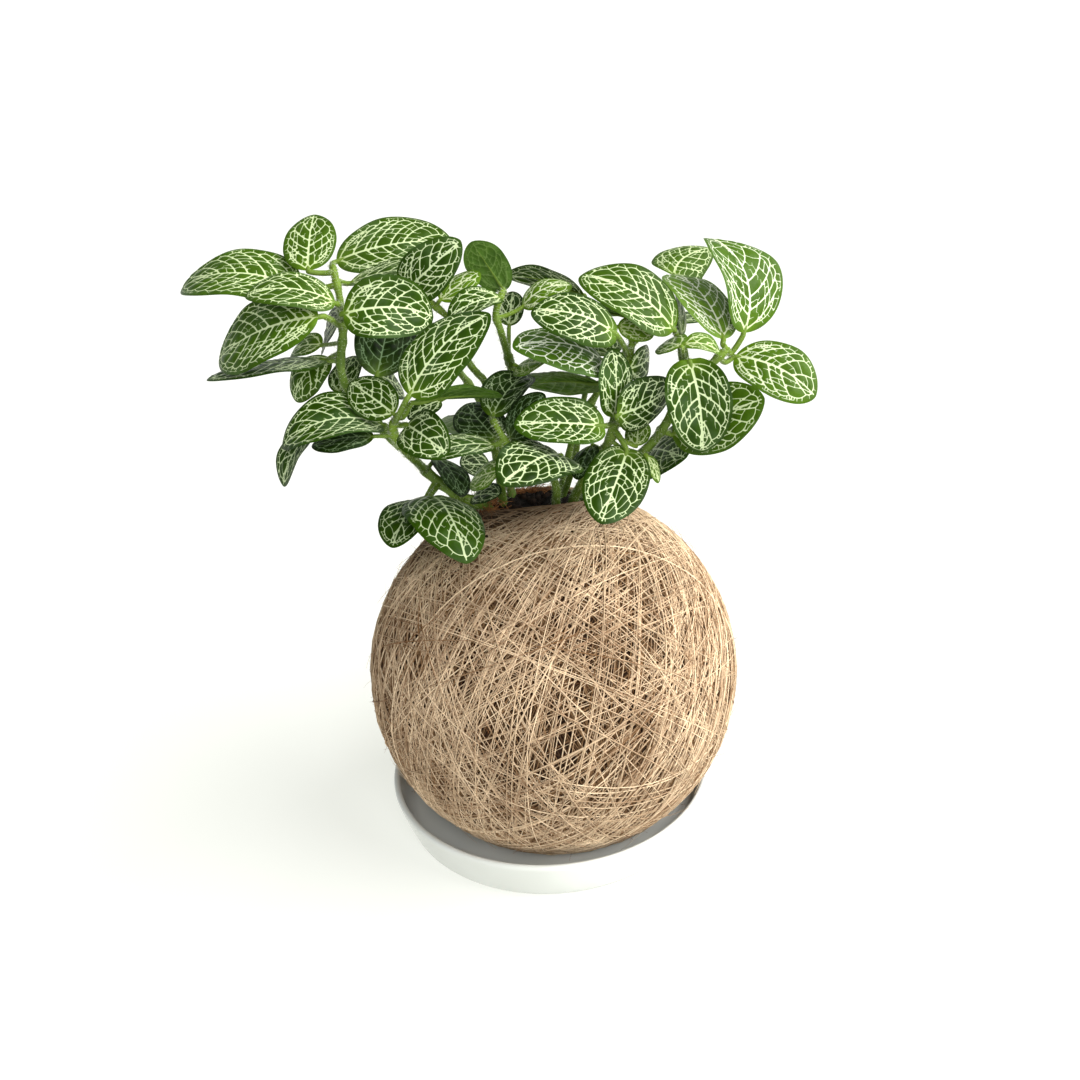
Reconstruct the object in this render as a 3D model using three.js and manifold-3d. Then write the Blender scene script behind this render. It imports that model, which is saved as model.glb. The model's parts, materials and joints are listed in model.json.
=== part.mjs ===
// Kokedama: a small net-veined foliage plant growing out of a thread-wound ball
// that stands in a shallow white saucer. Millimetres, +Z up. The origin is the
// centre of the saucer's flat underside, so z = 0 is the table.
import * as THREE from "three";
import Module from "manifold-3d";

const wasm = await Module();
wasm.setup();
const { Manifold, Mesh: MMesh } = wasm;

// ---- driving dimensions (mm) ----
const BALL_R = 57.5;            // outside of the thread winding
const BALL_C = [2.9, 0, 50.5];  // centre of the ball, a little right of the saucer's
const WINDING_T = 1.9;          // thickness of the thread winding
const COIR_T = 5.1;             // thickness of the coir layer under it
const GAP = 0.3;                // clearance between touching pieces
const FLOOR_Z = 3.0;            // top of the saucer's floor
const SAUCER_BASE_R = 46.5;
const SAUCER_RIM_R = 51.5;
const SAUCER_H = 14.2;
const MOUTH_C = [1, 12.3];      // centre of the opening in the top of the ball
const MOUTH_RX = 18.5;
const MOUTH_RY = 10.3;
const SOIL_TOP = 104.2;
const LEAF_T = 0.8;             // leaf blade thickness
const STEM_FOOT_Z = 97;         // stems reach this deep into the soil
const STEM_SIDES = 7;
const PETIOLE_SIDES = 5;
const LEAF_ROWS = 7;            // rows from tip to base
const YOUNG_ROWS = 5;           // the same on leaves shorter than YOUNG_L
const YOUNG_L = 20;
const LEAF_COLS = 4;            // strips across the blade

// Stem centre lines, from the soil outwards.
const STEMS = {
  left_low: { r: 1.7, p: [[-13.53,9.7,104.43],[-18.02,4.49,108.66],[-21.22,-0.76,113.87],[-23.18,-3.94,117.41],[-25.42,-3.4,119.23],[-29.95,-1.47,123.15],[-30.76,-2.72,125.03],[-32,-8.65,130.23],[-33.69,-13.06,134.86],[-35.6,-18.74,141.14],[-36.05,-20.59,143.78],[-36.3,-20.23,145.46],[-36.1,-21.01,147.16],[-35.1,-19.74,149.64]] },
  left_high: { r: 1.5, p: [[-35.03,-16.58,138.83],[-40.31,-13.81,143.96],[-44.56,-10.15,148.54],[-48.61,-7.91,153.23],[-49.71,-8.32,157.44],[-49.88,-6.34,161.64],[-48.62,-2.34,168.86],[-48.89,1.75,176.25],[-50.19,6.03,183.98]] },
  mid_left: { r: 1.4, p: [[-8.92,11.86,104.66],[-9.13,8.8,112.76],[-9.41,6.05,120.18],[-9.95,3.65,128.24],[-10.62,1.73,136.34],[-11.14,4.04,142.17],[-10.74,1.21,147.78],[-11.36,1.74,149.77],[-12.38,0.54,151.53],[-13.83,-2.73,155.13],[-15.05,-1.95,157.38],[-15.95,0.55,162.1],[-16.84,0.14,165.07],[-19.67,2.1,168.84],[-26.13,5.03,174.17],[-29.17,5.79,175.57]] },
  mid_top: { r: 1.4, p: [[-10.9,2.76,139.01],[-8.57,2.37,142.12],[-4.84,4.24,146.46],[-3.37,6.77,149.17],[-3.29,6.72,150.73],[-3.99,2.19,157.21],[-5.01,-1.85,164.15],[-5.3,-2.14,165.7],[-6.15,0.13,170.02],[-3.78,3.05,175.27]] },
  centre_back: { r: 1.1, p: [[9.12,13.7,102.98],[11.43,12.31,109.96],[13.58,10.12,118.38],[15.12,8,126.92],[15.65,7.83,129.91],[16.96,10.53,135.6],[17.78,11.9,138.69],[18.29,11,141.61],[18.87,8.43,146.04],[20.2,6.12,154.45],[20.61,5.05,157.88],[21.13,6.73,161.74],[21.02,9.9,167.47]] },
  centre: { r: 1.6, p: [[12.3,7.32,105.37],[14.35,2.88,112.21],[16.33,-2.1,118.88],[19.52,-5.7,125.37],[20.52,-5.97,126.93],[21.49,-5.65,128.13],[21.93,-5.91,128.89],[23.59,-11.73,135.1],[24.43,-13.77,139.66],[24.78,-13.81,141.65],[25.93,-11.14,145.43],[26.85,-9.88,148.94],[29.8,-5.51,156.18],[30.59,-3.37,157.37],[31.05,-2.55,160.08],[29.94,-0.89,163.09]] },
  right: { r: 1.6, p: [[15.15,11.7,102.86],[17.02,10.16,105.44],[20.62,5.54,111.32],[24.16,1.43,116.47],[27.57,-3.5,121.58],[31.75,-7.52,126.89],[34.06,-10.04,130.37],[35.98,-10.33,132.72],[36.58,-10.79,133.74],[37.93,-15.92,138.71],[38.42,-16.71,139.97],[39.51,-16.43,141.71],[43.19,-12.88,148.1],[44.82,-9.6,154.01],[44.76,-7.37,157.42],[44.62,-4.9,158.16],[44.3,2.54,159.21],[44.23,7.86,160.36],[44.01,9.66,161.96],[43.81,11.02,163.59],[43.81,15.1,165.8],[43.81,17.38,167.64],[43.83,18.37,168.19]] },
  right_far: { r: 1.6, p: [[41.12,-15.1,144.11],[44.77,-13.14,147.58],[48.46,-9.91,150.28],[54.96,-7.04,155.42],[57.11,-6.33,156.68]] },
  front: { r: 1.4, p: [[7.15,5.54,106.7],[7.54,0.49,112.85],[6.95,-2.88,118.13],[5.47,-8.07,123.63],[2.5,-12.86,129.45],[-1.72,-17.09,135.05],[-4.86,-21.2,139.2],[-6.19,-20.77,140.81],[-8.68,-18.34,145.2]] },
  back_left: { r: 1.4, p: [[-6,17,103],[-7.25,20.44,110.44],[-9,24,118],[-11.2,27.06,124.1],[-13.95,30.19,130.26],[-17.12,32.8,135.72],[-22.26,35.55,141.97],[-28.14,37.53,148.28],[-34,38,154]] },
  back_right: { r: 1.4, p: [[9,17,103],[11.19,21,110.56],[14,25,118],[17.38,28.18,123.46],[21.38,31.28,128.73],[26.52,34.4,135.05],[31.57,36.45,140.6],[36.32,37.1,145.03],[43,36,150]] },
};

// Leaves: name, stem, base point, direction base to tip, upward normal, length,
// half width / length, arch angle, cup, widest point, sideways sweep, base lobe,
// petiole radius, petiole curve (4 control points, leaf to stem), stem point.
// A leaf without a name is a small young leaf and is part of its shoot.
const LEAVES = [
  ["leaf_left_1","left_high",[-59.79,4.38,178.93],[-0.9837,0.1798,0.0103],[-0.0361,-0.2529,0.9668],37.73,0.313,1.408,0.038,0.371,0.032,0,0.85,[[-59.79,4.38,178.93],[-58.82,4.41,178.13],[-52.71,3.78,179.28],[-51.48,3.76,179.51]],[-49.69,3.73,179.83]],
  ["","back_left",[-12.07,20.83,112.99],[-0.6961,-0.6148,0.3708],[0.6775,-0.3915,0.6227],12.89,0.365,0.29,0.082,0.495,0,0,0.65,[[-12.07,20.83,112.99],[-11.81,21.12,112.79],[-9.68,20.83,112.12],[-9.25,20.93,112.16]],[-7.58,21.3,112.3]],
  ["leaf_left_2","left_high",[-57.09,4.88,184.14],[0.0486,0.8993,0.4346],[-0.0393,-0.4331,0.9005],22.43,0.337,0.373,-0.071,0.464,0.007,0,0.85,[[-57.09,4.88,184.14],[-57.12,4.24,183.66],[-52.66,4.99,182.95],[-51.87,5.14,182.95]],[-50.08,5.47,182.96]],
  ["","mid_top",[-2.99,10.95,161.64],[0.1668,0.6987,0.6957],[-0.0749,-0.6945,0.7156],11.09,0.361,0.66,0.084,0.487,0,0,0.65,[[-2.99,10.95,161.64],[-3.15,10.41,160.54],[-3.48,5.84,156.89],[-3.58,4.85,156.17]],[-3.72,3.46,155.17]],
  ["leaf_left_3","left_high",[-48.53,-11.59,180.13],[-0.9804,-0.0887,0.1759],[0.1922,-0.2362,0.9525],24.75,0.337,1.034,-0.01,0.412,-0.022,0,0.85,[[-48.53,-11.59,180.13],[-47.2,-11.25,179.03],[-48.62,-2.51,175.95],[-48.63,-0.97,175.09]],[-48.63,0.63,174.21]],
  ["","left_high",[-52.4,0.37,149.13],[0.3038,0.8363,0.4565],[-0.2609,-0.3878,0.8841],14.04,0.36,0.481,0.027,0.465,0,0,0.65,[[-52.4,0.37,149.13],[-52.68,-0.51,148.33],[-49.3,-5.51,151.25],[-48.87,-6.52,151.81]],[-48.24,-8.01,152.63]],
  ["leaf_left_4","left_high",[-52.48,-18.48,179.24],[-0.8928,0.2059,-0.4006],[-0.45,-0.4461,0.7736],34.52,0.325,0.974,-0.02,0.56,0.011,0,0.85,[[-52.48,-18.48,179.24],[-49.82,-18.41,179.22],[-49.47,-5.76,171.73],[-48.94,-3.5,170.44]],[-48.57,-1.95,169.57]],
  ["","back_left",[-25.76,25.48,133.76],[-0.8465,-0.4602,-0.2677],[-0.0897,-0.3725,0.9237],11.94,0.372,0.656,0.071,0.443,0,0,0.65,[[-25.76,25.48,133.76],[-24.54,26.29,133.69],[-19.44,30.72,135.07],[-18.37,31.67,135.37]],[-17.12,32.8,135.72]],
  ["leaf_left_5","left_high",[-51.8,27.97,178.8],[0.9905,0.1313,0.0408],[0.0131,-0.3854,0.9226],35.23,0.333,0.676,0.039,0.56,0.002,0,0.85,[[-51.8,27.97,178.8],[-54.74,27.98,177.73],[-50.42,10.35,181.57],[-50.27,7.62,183.09]],[-50.19,6.03,183.98]],
  ["","left_high",[-40.11,0.77,153.18],[0.3214,0.6981,-0.6398],[0.9025,-0.0212,0.4301],15.32,0.323,0.371,-0.1,0.491,0,0,0.65,[[-40.11,0.77,153.18],[-40.84,-0.26,154.01],[-45.83,-5.57,152.62],[-46.73,-6.76,152.38]],[-47.81,-8.2,152.09]],
  ["leaf_middle_1","mid_left",[-30.81,-0.11,177.69],[0.7722,-0.0373,0.6343],[-0.2891,-0.9096,0.2985],22,0.327,0.566,0.064,0.356,-0.008,0,0.85,[[-30.81,-0.11,177.69],[-31.28,0.1,177.19],[-29.45,3.46,176.22],[-29.37,4.15,176.03]],[-29.17,5.79,175.57]],
  ["","left_low",[-17.13,-5.82,116.31],[0.6906,-0.6393,0.3381],[-0.5038,-0.0899,0.8591],12.4,0.349,0.338,0.08,0.475,0,0,0.65,[[-17.13,-5.82,116.31],[-17.49,-5.43,116.03],[-20.07,-4.12,116.13],[-20.59,-3.83,116.12]],[-22.37,-2.86,116.06]],
  ["leaf_left_6","left_high",[-47.04,11.91,177.3],[0.9847,-0.125,0.1214],[-0.1191,0.026,0.9925],26.34,0.335,0.509,0.051,0.471,0,0,0.85,[[-47.04,11.91,177.3],[-48.02,12.03,176.91],[-48.93,6.77,179.69],[-49.27,5.88,180.14]],[-49.85,4.34,180.92]],
  ["","left_high",[-50.16,10.05,168.7],[-0.4145,0.5545,-0.7216],[-0.8986,-0.1239,0.4209],19.58,0.337,0.493,0.04,0.449,0,0,0.65,[[-50.16,10.05,168.7],[-49.3,9.35,169.53],[-49.08,3.39,172.65],[-48.89,2.2,173.32]],[-48.63,0.63,174.21]],
  ["leaf_left_7","left_high",[-46.71,-11.84,176.92],[0.9498,0.2451,-0.1945],[0.3048,-0.8647,0.3991],26.62,0.32,1.288,0.266,0.418,0.069,0,0.85,[[-46.71,-11.84,176.92],[-48.21,-11.33,176.79],[-48.03,-3.61,173.52],[-48.27,-2.24,172.76]],[-48.53,-0.66,171.89]],
  ["leaf_left_8","left_high",[-40.43,-5.98,156.09],[0.2217,0.7778,0.5881],[0.1785,-0.6252,0.7597],25.49,0.333,0.548,-0.027,0.472,0.003,0,0.85,[[-40.43,-5.98,156.09],[-40.69,-6.58,155.3],[-44.09,-8.19,152.1],[-44.89,-8.5,151.52]],[-46.28,-9.07,150.5]],
  ["leaf_left_9","left_low",[-29.87,-30.03,159.83],[0.7241,0.4449,0.527],[-0.2813,-0.5072,0.8147],30.83,0.328,0.212,-0.091,0.32,0.091,0,0.85,[[-29.87,-30.03,159.83],[-31.35,-30.87,158.52],[-34.78,-24.23,149.9],[-35.26,-22.31,149.05]],[-35.72,-20.51,148.25]],
  ["leaf_middle_2","mid_top",[-4.34,-1.33,174.74],[-0.9032,-0.3839,-0.1921],[-0.075,-0.2995,0.9512],16.97,0.337,0.93,0.221,0.447,-0.003,0,0.65,[[-4.34,-1.33,174.74],[-4.11,-1.19,174.67],[-4.55,0.09,174.02],[-4.59,0.34,173.9]],[-4.8,1.87,173.15]],
  ["leaf_left_10","left_high",[-54.7,-2.51,160.39],[-0.8948,-0.4411,0.0685],[-0.0237,0.2001,0.9795],33.97,0.335,0.406,-0.099,0.45,0.001,0,0.85,[[-54.7,-2.51,160.39],[-54.11,-2.25,160.21],[-51.81,-4.88,161.04],[-51.29,-5.27,161.2]],[-49.88,-6.34,161.64]],
  ["","left_high",[-56.34,6.95,161.39],[-0.7563,0.5528,-0.3498],[-0.5339,-0.2125,0.8184],13.65,0.333,0.756,0.074,0.461,-0.007,0,0.65,[[-56.34,6.95,161.39],[-54.72,6.17,161.43],[-51.07,-1.14,164.67],[-50.14,-2.58,165.24]],[-49.2,-4.03,165.82]],
  ["","left_high",[-54.26,3.33,158.79],[-0.6632,-0.3323,-0.6706],[-0.3845,-0.6176,0.6862],16.97,0.36,1.378,-0.246,0.56,-0.065,0,0.65,[[-54.26,3.33,158.79],[-53.23,4.21,158.91],[-50.97,-2.73,162.22],[-50.4,-3.84,162.76]],[-49.64,-5.33,163.47]],
  ["leaf_left_11","left_low",[-35.3,-22.73,151.59],[-0.6755,0.684,0.2753],[-0.2382,-0.5558,0.7964],18.3,0.335,0.478,-0.05,0.45,0,0,0.65,[[-35.3,-22.73,151.59],[-35.13,-22.86,151.48],[-35.26,-21.68,150.78],[-35.24,-21.48,150.67]],[-35.1,-19.74,149.64]],
  ["leaf_left_12","left_low",[-38.87,-17.86,146.45],[-0.9774,-0.1974,-0.0763],[-0.0386,-0.1884,0.9813],30.87,0.338,1.431,0.176,0.449,-0.006,0,0.85,[[-38.87,-17.86,146.45],[-38.69,-17.79,146.31],[-37.9,-18.76,146.08],[-37.73,-18.92,146.01]],[-36.3,-20.23,145.46]],
  ["leaf_left_13","left_low",[-41.41,-22.69,145.45],[-0.9954,-0.0527,-0.0799],[-0.0722,-0.1335,0.9884],17.36,0.334,0.464,-0.089,0.56,0.011,0,0.65,[[-41.41,-22.69,145.45],[-40.85,-22.64,145.37],[-38.52,-21.49,144.65],[-38.02,-21.23,144.63]],[-36.24,-20.28,144.56]],
  ["","left_high",[-59.52,-13.64,143.79],[-0.5143,-0.438,-0.7373],[-0.6413,-0.3744,0.6697],17.51,0.342,0.842,0.214,0.447,-0.023,0,0.65,[[-59.52,-13.64,143.79],[-58.04,-12.51,144.6],[-50.82,-9.53,150.09],[-49.23,-8.82,151.14]],[-47.81,-8.2,152.09]],
  ["leaf_left_14","left_low",[-32.09,-24.12,148.82],[0.5915,-0.7984,-0.1128],[-0.4608,-0.4495,0.7652],20.01,0.33,0.742,0.186,0.441,0.005,0,0.85,[[-32.09,-24.12,148.82],[-32.29,-23.64,148.73],[-33.51,-21.6,147.48],[-34.01,-21.42,147.57]],[-35.87,-20.71,147.9]],
  ["leaf_left_15","left_low",[-30.99,-6.38,116.68],[-0.3692,-0.9161,-0.1565],[-0.0902,-0.1323,0.9871],23.76,0.333,0.777,0.035,0.437,-0.026,0,0.85,[[-30.99,-6.38,116.68],[-30.73,-5.76,116.52],[-28.95,-4.12,119.1],[-28.51,-3.76,119.47]],[-27.19,-2.67,120.56]],
  ["leaf_left_16","left_low",[-28.82,-11.96,120.38],[0.3279,-0.9224,-0.2043],[0.2585,-0.1204,0.9585],33.71,0.328,1.289,-0.303,0.357,-0.017,0.1,0.85,[[-28.82,-11.96,120.38],[-29.27,-11.08,119.93],[-27.29,-5.98,120.16],[-26.95,-4.95,120.06]],[-26.3,-3.04,119.88]],
  ["leaf_left_17","left_low",[-30.06,-19.87,153.53],[0.9389,0.3071,-0.1556],[-0.0444,0.5562,0.8298],25.92,0.335,0.424,0.098,0.435,0.011,0,0.85,[[-30.06,-19.87,153.53],[-30.78,-20.2,153.51],[-32.78,-21.32,149.59],[-33.43,-20.88,149.6]],[-35.1,-19.74,149.64]],
  ["leaf_front_1","front",[-9.35,-11.62,143.78],[0.5353,0.8002,0.2704],[-0.0707,-0.2766,0.9584],20.51,0.333,0.941,0.306,0.488,-0.003,0,0.85,[[-9.35,-11.62,143.78],[-9.71,-12.09,143.24],[-8.58,-16.12,144.04],[-8.61,-16.82,144.41]],[-8.68,-18.34,145.2]],
  ["","front",[-8.32,-16.98,139.3],[-0.3966,0.9083,0.1329],[-0.0817,-0.1791,0.9804],21.51,0.334,0.304,-0.096,0.495,0.035,0,0.85,[[-8.32,-16.98,139.3],[-8.09,-17.47,139.15],[-6.03,-19.13,138.87],[-5.63,-19.52,138.81]],[-4.42,-20.72,138.61]],
  ["leaf_front_2","front",[-8.88,-21.76,139.79],[-0.9382,-0.3429,0.0475],[0.0662,-0.0428,0.9969],20.55,0.336,0.69,0.058,0.494,-0.006,0,0.85,[[-8.88,-21.76,139.79],[-8.71,-21.69,139.71],[-7.85,-21.43,140.11],[-7.68,-21.36,140.18]],[-6.19,-20.77,140.81]],
  ["leaf_left_18","left_low",[-26.75,5.14,124.21],[0.3876,-0.8541,-0.3468],[0.5321,-0.0999,0.8408],17.52,0.331,0.663,0.05,0.463,0.011,0,0.65,[[-26.75,5.14,124.21],[-27.2,5.83,124.25],[-29.05,1.05,124.09],[-29.31,0.32,123.82]],[-29.95,-1.47,123.15]],
  ["leaf_middle_3","mid_top",[-3.44,9.43,172.75],[-0.4466,-0.1584,0.8806],[0.0522,0.9779,0.2023],18.15,0.325,0.498,-0.045,0.545,-0.016,0,0.65,[[-3.44,9.43,172.75],[-3.12,9.36,172.04],[-3.79,5.24,174.06],[-3.79,4.56,174.44]],[-3.78,3.05,175.27]],
  ["leaf_back_middle_1","centre_back",[18.97,10.94,169.26],[-0.9209,0.3416,0.188],[0.3738,0.6361,0.6751],24.42,0.336,0.628,-0.003,0.431,0.002,0,0.85,[[18.97,10.94,169.26],[19.22,10.76,169.13],[18.72,9.91,167.39],[19.6,9.9,167.42]],[21.02,9.9,167.47]],
  ["leaf_middle_4","mid_top",[1.33,0.88,170.79],[0.9457,0.1399,0.2935],[-0.2322,-0.3415,0.9108],15.91,0.343,1.25,-0.184,0.455,0.03,0,0.65,[[1.33,0.88,170.79],[0.74,0.96,170.07],[-3.46,-0.36,168.93],[-4.37,-0.46,168.81]],[-6.07,-0.65,168.6]],
  ["leaf_centre_1","centre",[24.8,-16.76,168.57],[-0.9555,0.0508,0.2905],[0.2205,-0.5313,0.818],23.1,0.352,0.881,-0.171,0.412,-0.041,0.1,0.85,[[24.8,-16.76,168.57],[26.6,-16.33,167.14],[28.83,-7.65,159.73],[29.36,-6.48,157.78]],[29.8,-5.51,156.18]],
  ["leaf_centre_2","centre",[22.71,-6.62,156.15],[-0.8445,-0.4042,0.3514],[0.4449,-0.1643,0.8804],30.24,0.339,0.879,-0.246,0.353,-0.024,0,0.85,[[22.71,-6.62,156.15],[23.1,-6.32,155.67],[26.24,-7.08,154.51],[26.89,-7.14,154.27]],[28.68,-7.3,153.59]],
  ["leaf_right_1","right",[42.17,-9.04,164.63],[-0.8251,0.3378,0.4528],[0.2745,-0.4608,0.844],30.96,0.333,0.871,0.023,0.412,-0.06,0,0.85,[[42.17,-9.04,164.63],[42.84,-9.16,163.82],[41.82,-4.47,165.26],[43.87,-3.99,160.03]],[44.57,-3.82,158.25]],
  ["leaf_right_2","right",[45.44,20.87,169.68],[0.5168,0.8561,-0.0021],[0.302,-0.18,0.9362],26.43,0.3,-0.002,-0.3,0.32,0.105,0,0.85,[[45.44,20.87,169.68],[45.2,20.48,169.68],[47.78,19.24,166.52],[45.56,18.75,167.46]],[43.83,18.37,168.19]],
  ["leaf_right_3","right_far",[56.34,-5.11,159.58],[-0.4295,0.8133,0.3924],[0.4204,-0.2045,0.884],30.58,0.323,1.168,-0.037,0.505,0.016,0,0.85,[[56.34,-5.11,159.58],[56.37,-5.24,159.39],[55.9,-5.68,158.35],[56.03,-5.75,158.16]],[57.11,-6.33,156.68]],
  ["leaf_right_4","right_far",[62.38,-2.71,159.99],[-0.2173,0.676,0.7041],[0.6006,-0.476,0.6424],32.89,0.378,1.475,0.179,0.56,-0.056,0,0.85,[[62.38,-2.71,159.99],[62.12,-2.91,158.96],[58.36,-3.52,153],[57.61,-5.21,155.21]],[57.11,-6.33,156.68]],
  ["leaf_right_5","right_far",[59.8,-3.57,153.53],[0.8297,-0.4098,-0.3789],[0.043,-0.63,0.7754],25.87,0.337,0.829,-0.062,0.555,0.052,0,0.85,[[59.8,-3.57,153.53],[59.23,-3.11,153.56],[56.92,-4.2,150.69],[55.6,-6.11,153.87]],[54.96,-7.04,155.42]],
  ["","right",[43.16,-17.48,163.31],[-0.3138,0.8973,-0.3103],[-0.4964,0.1236,0.8593],13.66,0.335,0.458,-0.069,0.449,0.001,0,0.65,[[43.16,-17.48,163.31],[43.76,-18.79,163.46],[43.47,-16.32,161.63],[44.56,-9.86,157.45]],[44.83,-8.27,156.42]],
  ["","right",[44.6,-11.68,161.31],[0.9449,0.0134,-0.3271],[0.3155,-0.3042,0.8988],11.2,0.343,1.191,0.241,0.476,0.025,0,0.65,[[44.6,-11.68,161.31],[44.03,-11.59,161.17],[44.66,-8.74,159.53],[44.68,-8.41,159.03]],[44.76,-7.37,157.42]],
  ["leaf_right_6","right",[45.53,-17.69,158.38],[0.0867,-0.3354,-0.9381],[-0.0844,-0.9407,0.3286],25.62,0.347,0.956,0.166,0.402,0.038,0.06,0.85,[[45.53,-17.69,158.38],[45.49,-16.89,159.13],[45.09,-11.89,156.09],[45.01,-10.93,155.56]],[44.86,-9.25,154.64]],
  ["leaf_right_7","right",[40.53,-14.58,135.99],[0.8258,-0.3372,0.4521],[-0.5621,-0.5588,0.6098],29.59,0.335,0.434,-0.162,0.498,-0.012,0,0.85,[[40.53,-14.58,135.99],[40.4,-14.49,135.88],[39.49,-14.43,136.32],[39.3,-14.41,136.39]],[37.51,-14.22,137.04]],
  ["leaf_right_8","right",[34.37,12.52,118.5],[0.2504,-0.9031,0.349],[-0.6579,0.1058,0.7457],37.57,0.302,0.42,-0.078,0.456,-0.001,0,0.85,[[34.37,12.52,118.5],[34.14,14.31,117.47],[24.97,6.58,114.31],[23.63,5.01,114.11]],[22.38,3.56,113.93]],
  ["leaf_centre_3","centre",[24.36,-16.51,143.45],[0.0169,0.204,0.9788],[0.6444,-0.7508,0.1453],19.4,0.338,0.546,-0.025,0.486,-0.007,0,0.65,[[24.36,-16.51,143.45],[24.32,-16.5,143.23],[24.68,-15.28,143.57],[24.71,-15.09,143.46]],[24.99,-13.46,142.48]],
  ["leaf_centre_4","centre",[25.06,-20.98,145.88],[0.7383,0.673,0.0456],[0.6703,-0.7395,0.0625],23.17,0.321,0.521,-0.233,0.32,-0.015,0,0.85,[[25.06,-20.98,145.88],[23.99,-21.54,145.81],[27.07,-15.83,140.25],[26.11,-15.11,140.44]],[24.6,-13.97,140.73]],
  ["","centre",[30.57,-15.1,133.36],[0.1688,0.9538,0.2484],[-0.1122,-0.2318,0.9663],11.19,0.335,0.517,-0.036,0.45,0.005,0,0.65,[[30.57,-15.1,133.36],[30.45,-15.86,132.93],[26.27,-13.35,135.22],[25.5,-13.04,135.54]],[23.85,-12.35,136.23]],
  ["leaf_centre_5","centre",[20.05,-22.96,143.97],[-0.9825,-0.1273,0.1357],[0.1813,-0.4909,0.8522],23.83,0.338,0.394,0.189,0.394,-0.003,0.08,0.85,[[20.05,-22.96,143.97],[21.26,-22.67,143.57],[23.02,-16.78,140.95],[23.66,-15.64,140.87]],[24.6,-13.97,140.73]],
  ["leaf_front_3","front",[8.77,-24.73,136.84],[-0.5298,-0.8345,0.1513],[0.3294,-0.038,0.9434],30.81,0.327,0.864,-0.008,0.344,0.011,0.15,0.85,[[8.77,-24.73,136.84],[9.4,-23.3,135.85],[9.85,-21.61,133.53],[2.3,-15.51,131.84]],[0.98,-14.44,131.55]],
  ["leaf_centre_6","centre",[27.43,-19.27,133.75],[-0.3483,-0.8596,-0.3738],[0.0864,-0.4265,0.9003],26.53,0.333,0.435,-0.001,0.477,0.008,0.1,0.85,[[27.43,-19.27,133.75],[27.74,-18.38,133.91],[25.49,-15.72,137.41],[25.08,-14.94,137.78]],[24.26,-13.37,138.52]],
  ["","centre",[33.14,-19.78,132.28],[0.3221,-0.1732,-0.9307],[0.7464,-0.5583,0.3622],8.57,0.302,0.5,-0.05,0.45,0,0,0.65,[[33.14,-19.78,132.28],[32.27,-19.24,133.71],[31.59,-15.66,127.96],[24.72,-11.7,132.91]],[23.31,-10.89,133.93]],
  ["","centre",[18.39,-5.39,130],[-0.3793,-0.8141,-0.4397],[-0.4732,-0.2378,0.8483],12.95,0.335,0.5,-0.05,0.45,0,0,0.65,[[18.39,-5.39,130],[18.51,-5.17,130.06],[19.69,-5.51,129.35],[19.9,-5.52,129.21]],[21.49,-5.65,128.13]],
  ["leaf_centre_7","centre",[21.52,-1.7,147.66],[-0.7824,0.5796,-0.2279],[0.259,0.6356,0.7272],27.31,0.334,0.294,-0.125,0.56,0.028,0,0.85,[[21.52,-1.7,147.66],[22.39,-2.48,147.8],[25.32,-7.02,149.01],[26,-7.94,149.28]],[27.12,-9.44,149.73]],
  ["","centre",[29.47,-10.02,154.7],[0.4625,0.8818,-0.0926],[0.8862,-0.463,0.0171],14.85,0.341,0.784,0.001,0.412,-0.012,0,0.65,[[29.47,-10.02,154.7],[29.34,-10.13,154.72],[29.23,-9.15,154.38],[29.19,-9,154.32]],[28.68,-7.3,153.59]],
  ["","front",[-4.98,-16.86,139.05],[0.64,-0.0286,0.7679],[-0.5899,-0.6587,0.467],17.04,0.332,0.511,-0.049,0.438,-0.004,0,0.65,[[-4.98,-16.86,139.05],[-5.1,-16.81,138.83],[-4.27,-17.8,138.22],[-4.16,-18,138.1]],[-3.42,-19.3,137.25]],
  ["","front",[-7.98,-23.76,133.1],[-0.6436,0.5461,-0.5363],[-0.7161,-0.1823,0.6738],14.09,0.335,0.466,-0.066,0.449,0.001,0,0.65,[[-7.98,-23.76,133.1],[-7.32,-24.16,133.41],[-5.69,-21.81,136.69],[-5.28,-21.46,137.31]],[-4.42,-20.72,138.61]],
  ["","mid_left",[-21.32,1.19,174.3],[0.8228,0.4297,0.3719],[-0.1783,-0.4261,0.8869],14.05,0.335,0.4,-0.097,0.448,-0.006,0,0.65,[[-21.32,1.19,174.3],[-21.58,1.08,174.12],[-22.04,2.36,173.06],[-22.15,2.56,172.82]],[-22.72,3.61,171.59]],
  ["","mid_top",[-1.47,3.85,152.03],[0.5441,-0.7614,0.3525],[-0.5046,0.0387,0.8625],15.14,0.336,0.266,-0.164,0.458,-0.005,0,0.65,[[-1.47,3.85,152.03],[-1.53,3.95,151.97],[-2.03,4.39,152.15],[-2.14,4.47,152.2]],[-3.45,5.37,152.84]],
  ["","right",[45.27,1.94,158.82],[-0.0558,0.666,0.7439],[0.943,-0.2097,0.2586],14.63,0.336,0.585,0.041,0.448,-0.005,0,0.65,[[45.27,1.94,158.82],[43.71,-2.19,153.19],[45.39,-0.09,150.36],[44.97,-7.23,154.32]],[44.88,-8.91,155.25]],
  ["","centre",[27.24,-4.35,165.2],[0.9183,0.1471,-0.3676],[0.3707,-0.6459,0.6674],11.02,0.335,0.5,-0.05,0.45,0,0,0.65,[[27.24,-4.35,165.2],[26.79,-4.34,165.29],[28.75,-2.83,163.73],[28.98,-2.46,163.61]],[29.94,-0.89,163.09]],
  ["leaf_back_right_1","back_right",[17.83,37.67,123.62],[-0.543,0.6093,-0.5778],[-0.0568,0.6598,0.7493],33.57,0.332,0.664,0.022,0.436,-0.021,0,0.85,[[17.83,37.67,123.62],[18.37,36.88,123.93],[19.42,32.77,126.05],[19.64,31.85,126.4]],[20.03,30.29,127.01]],
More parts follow.
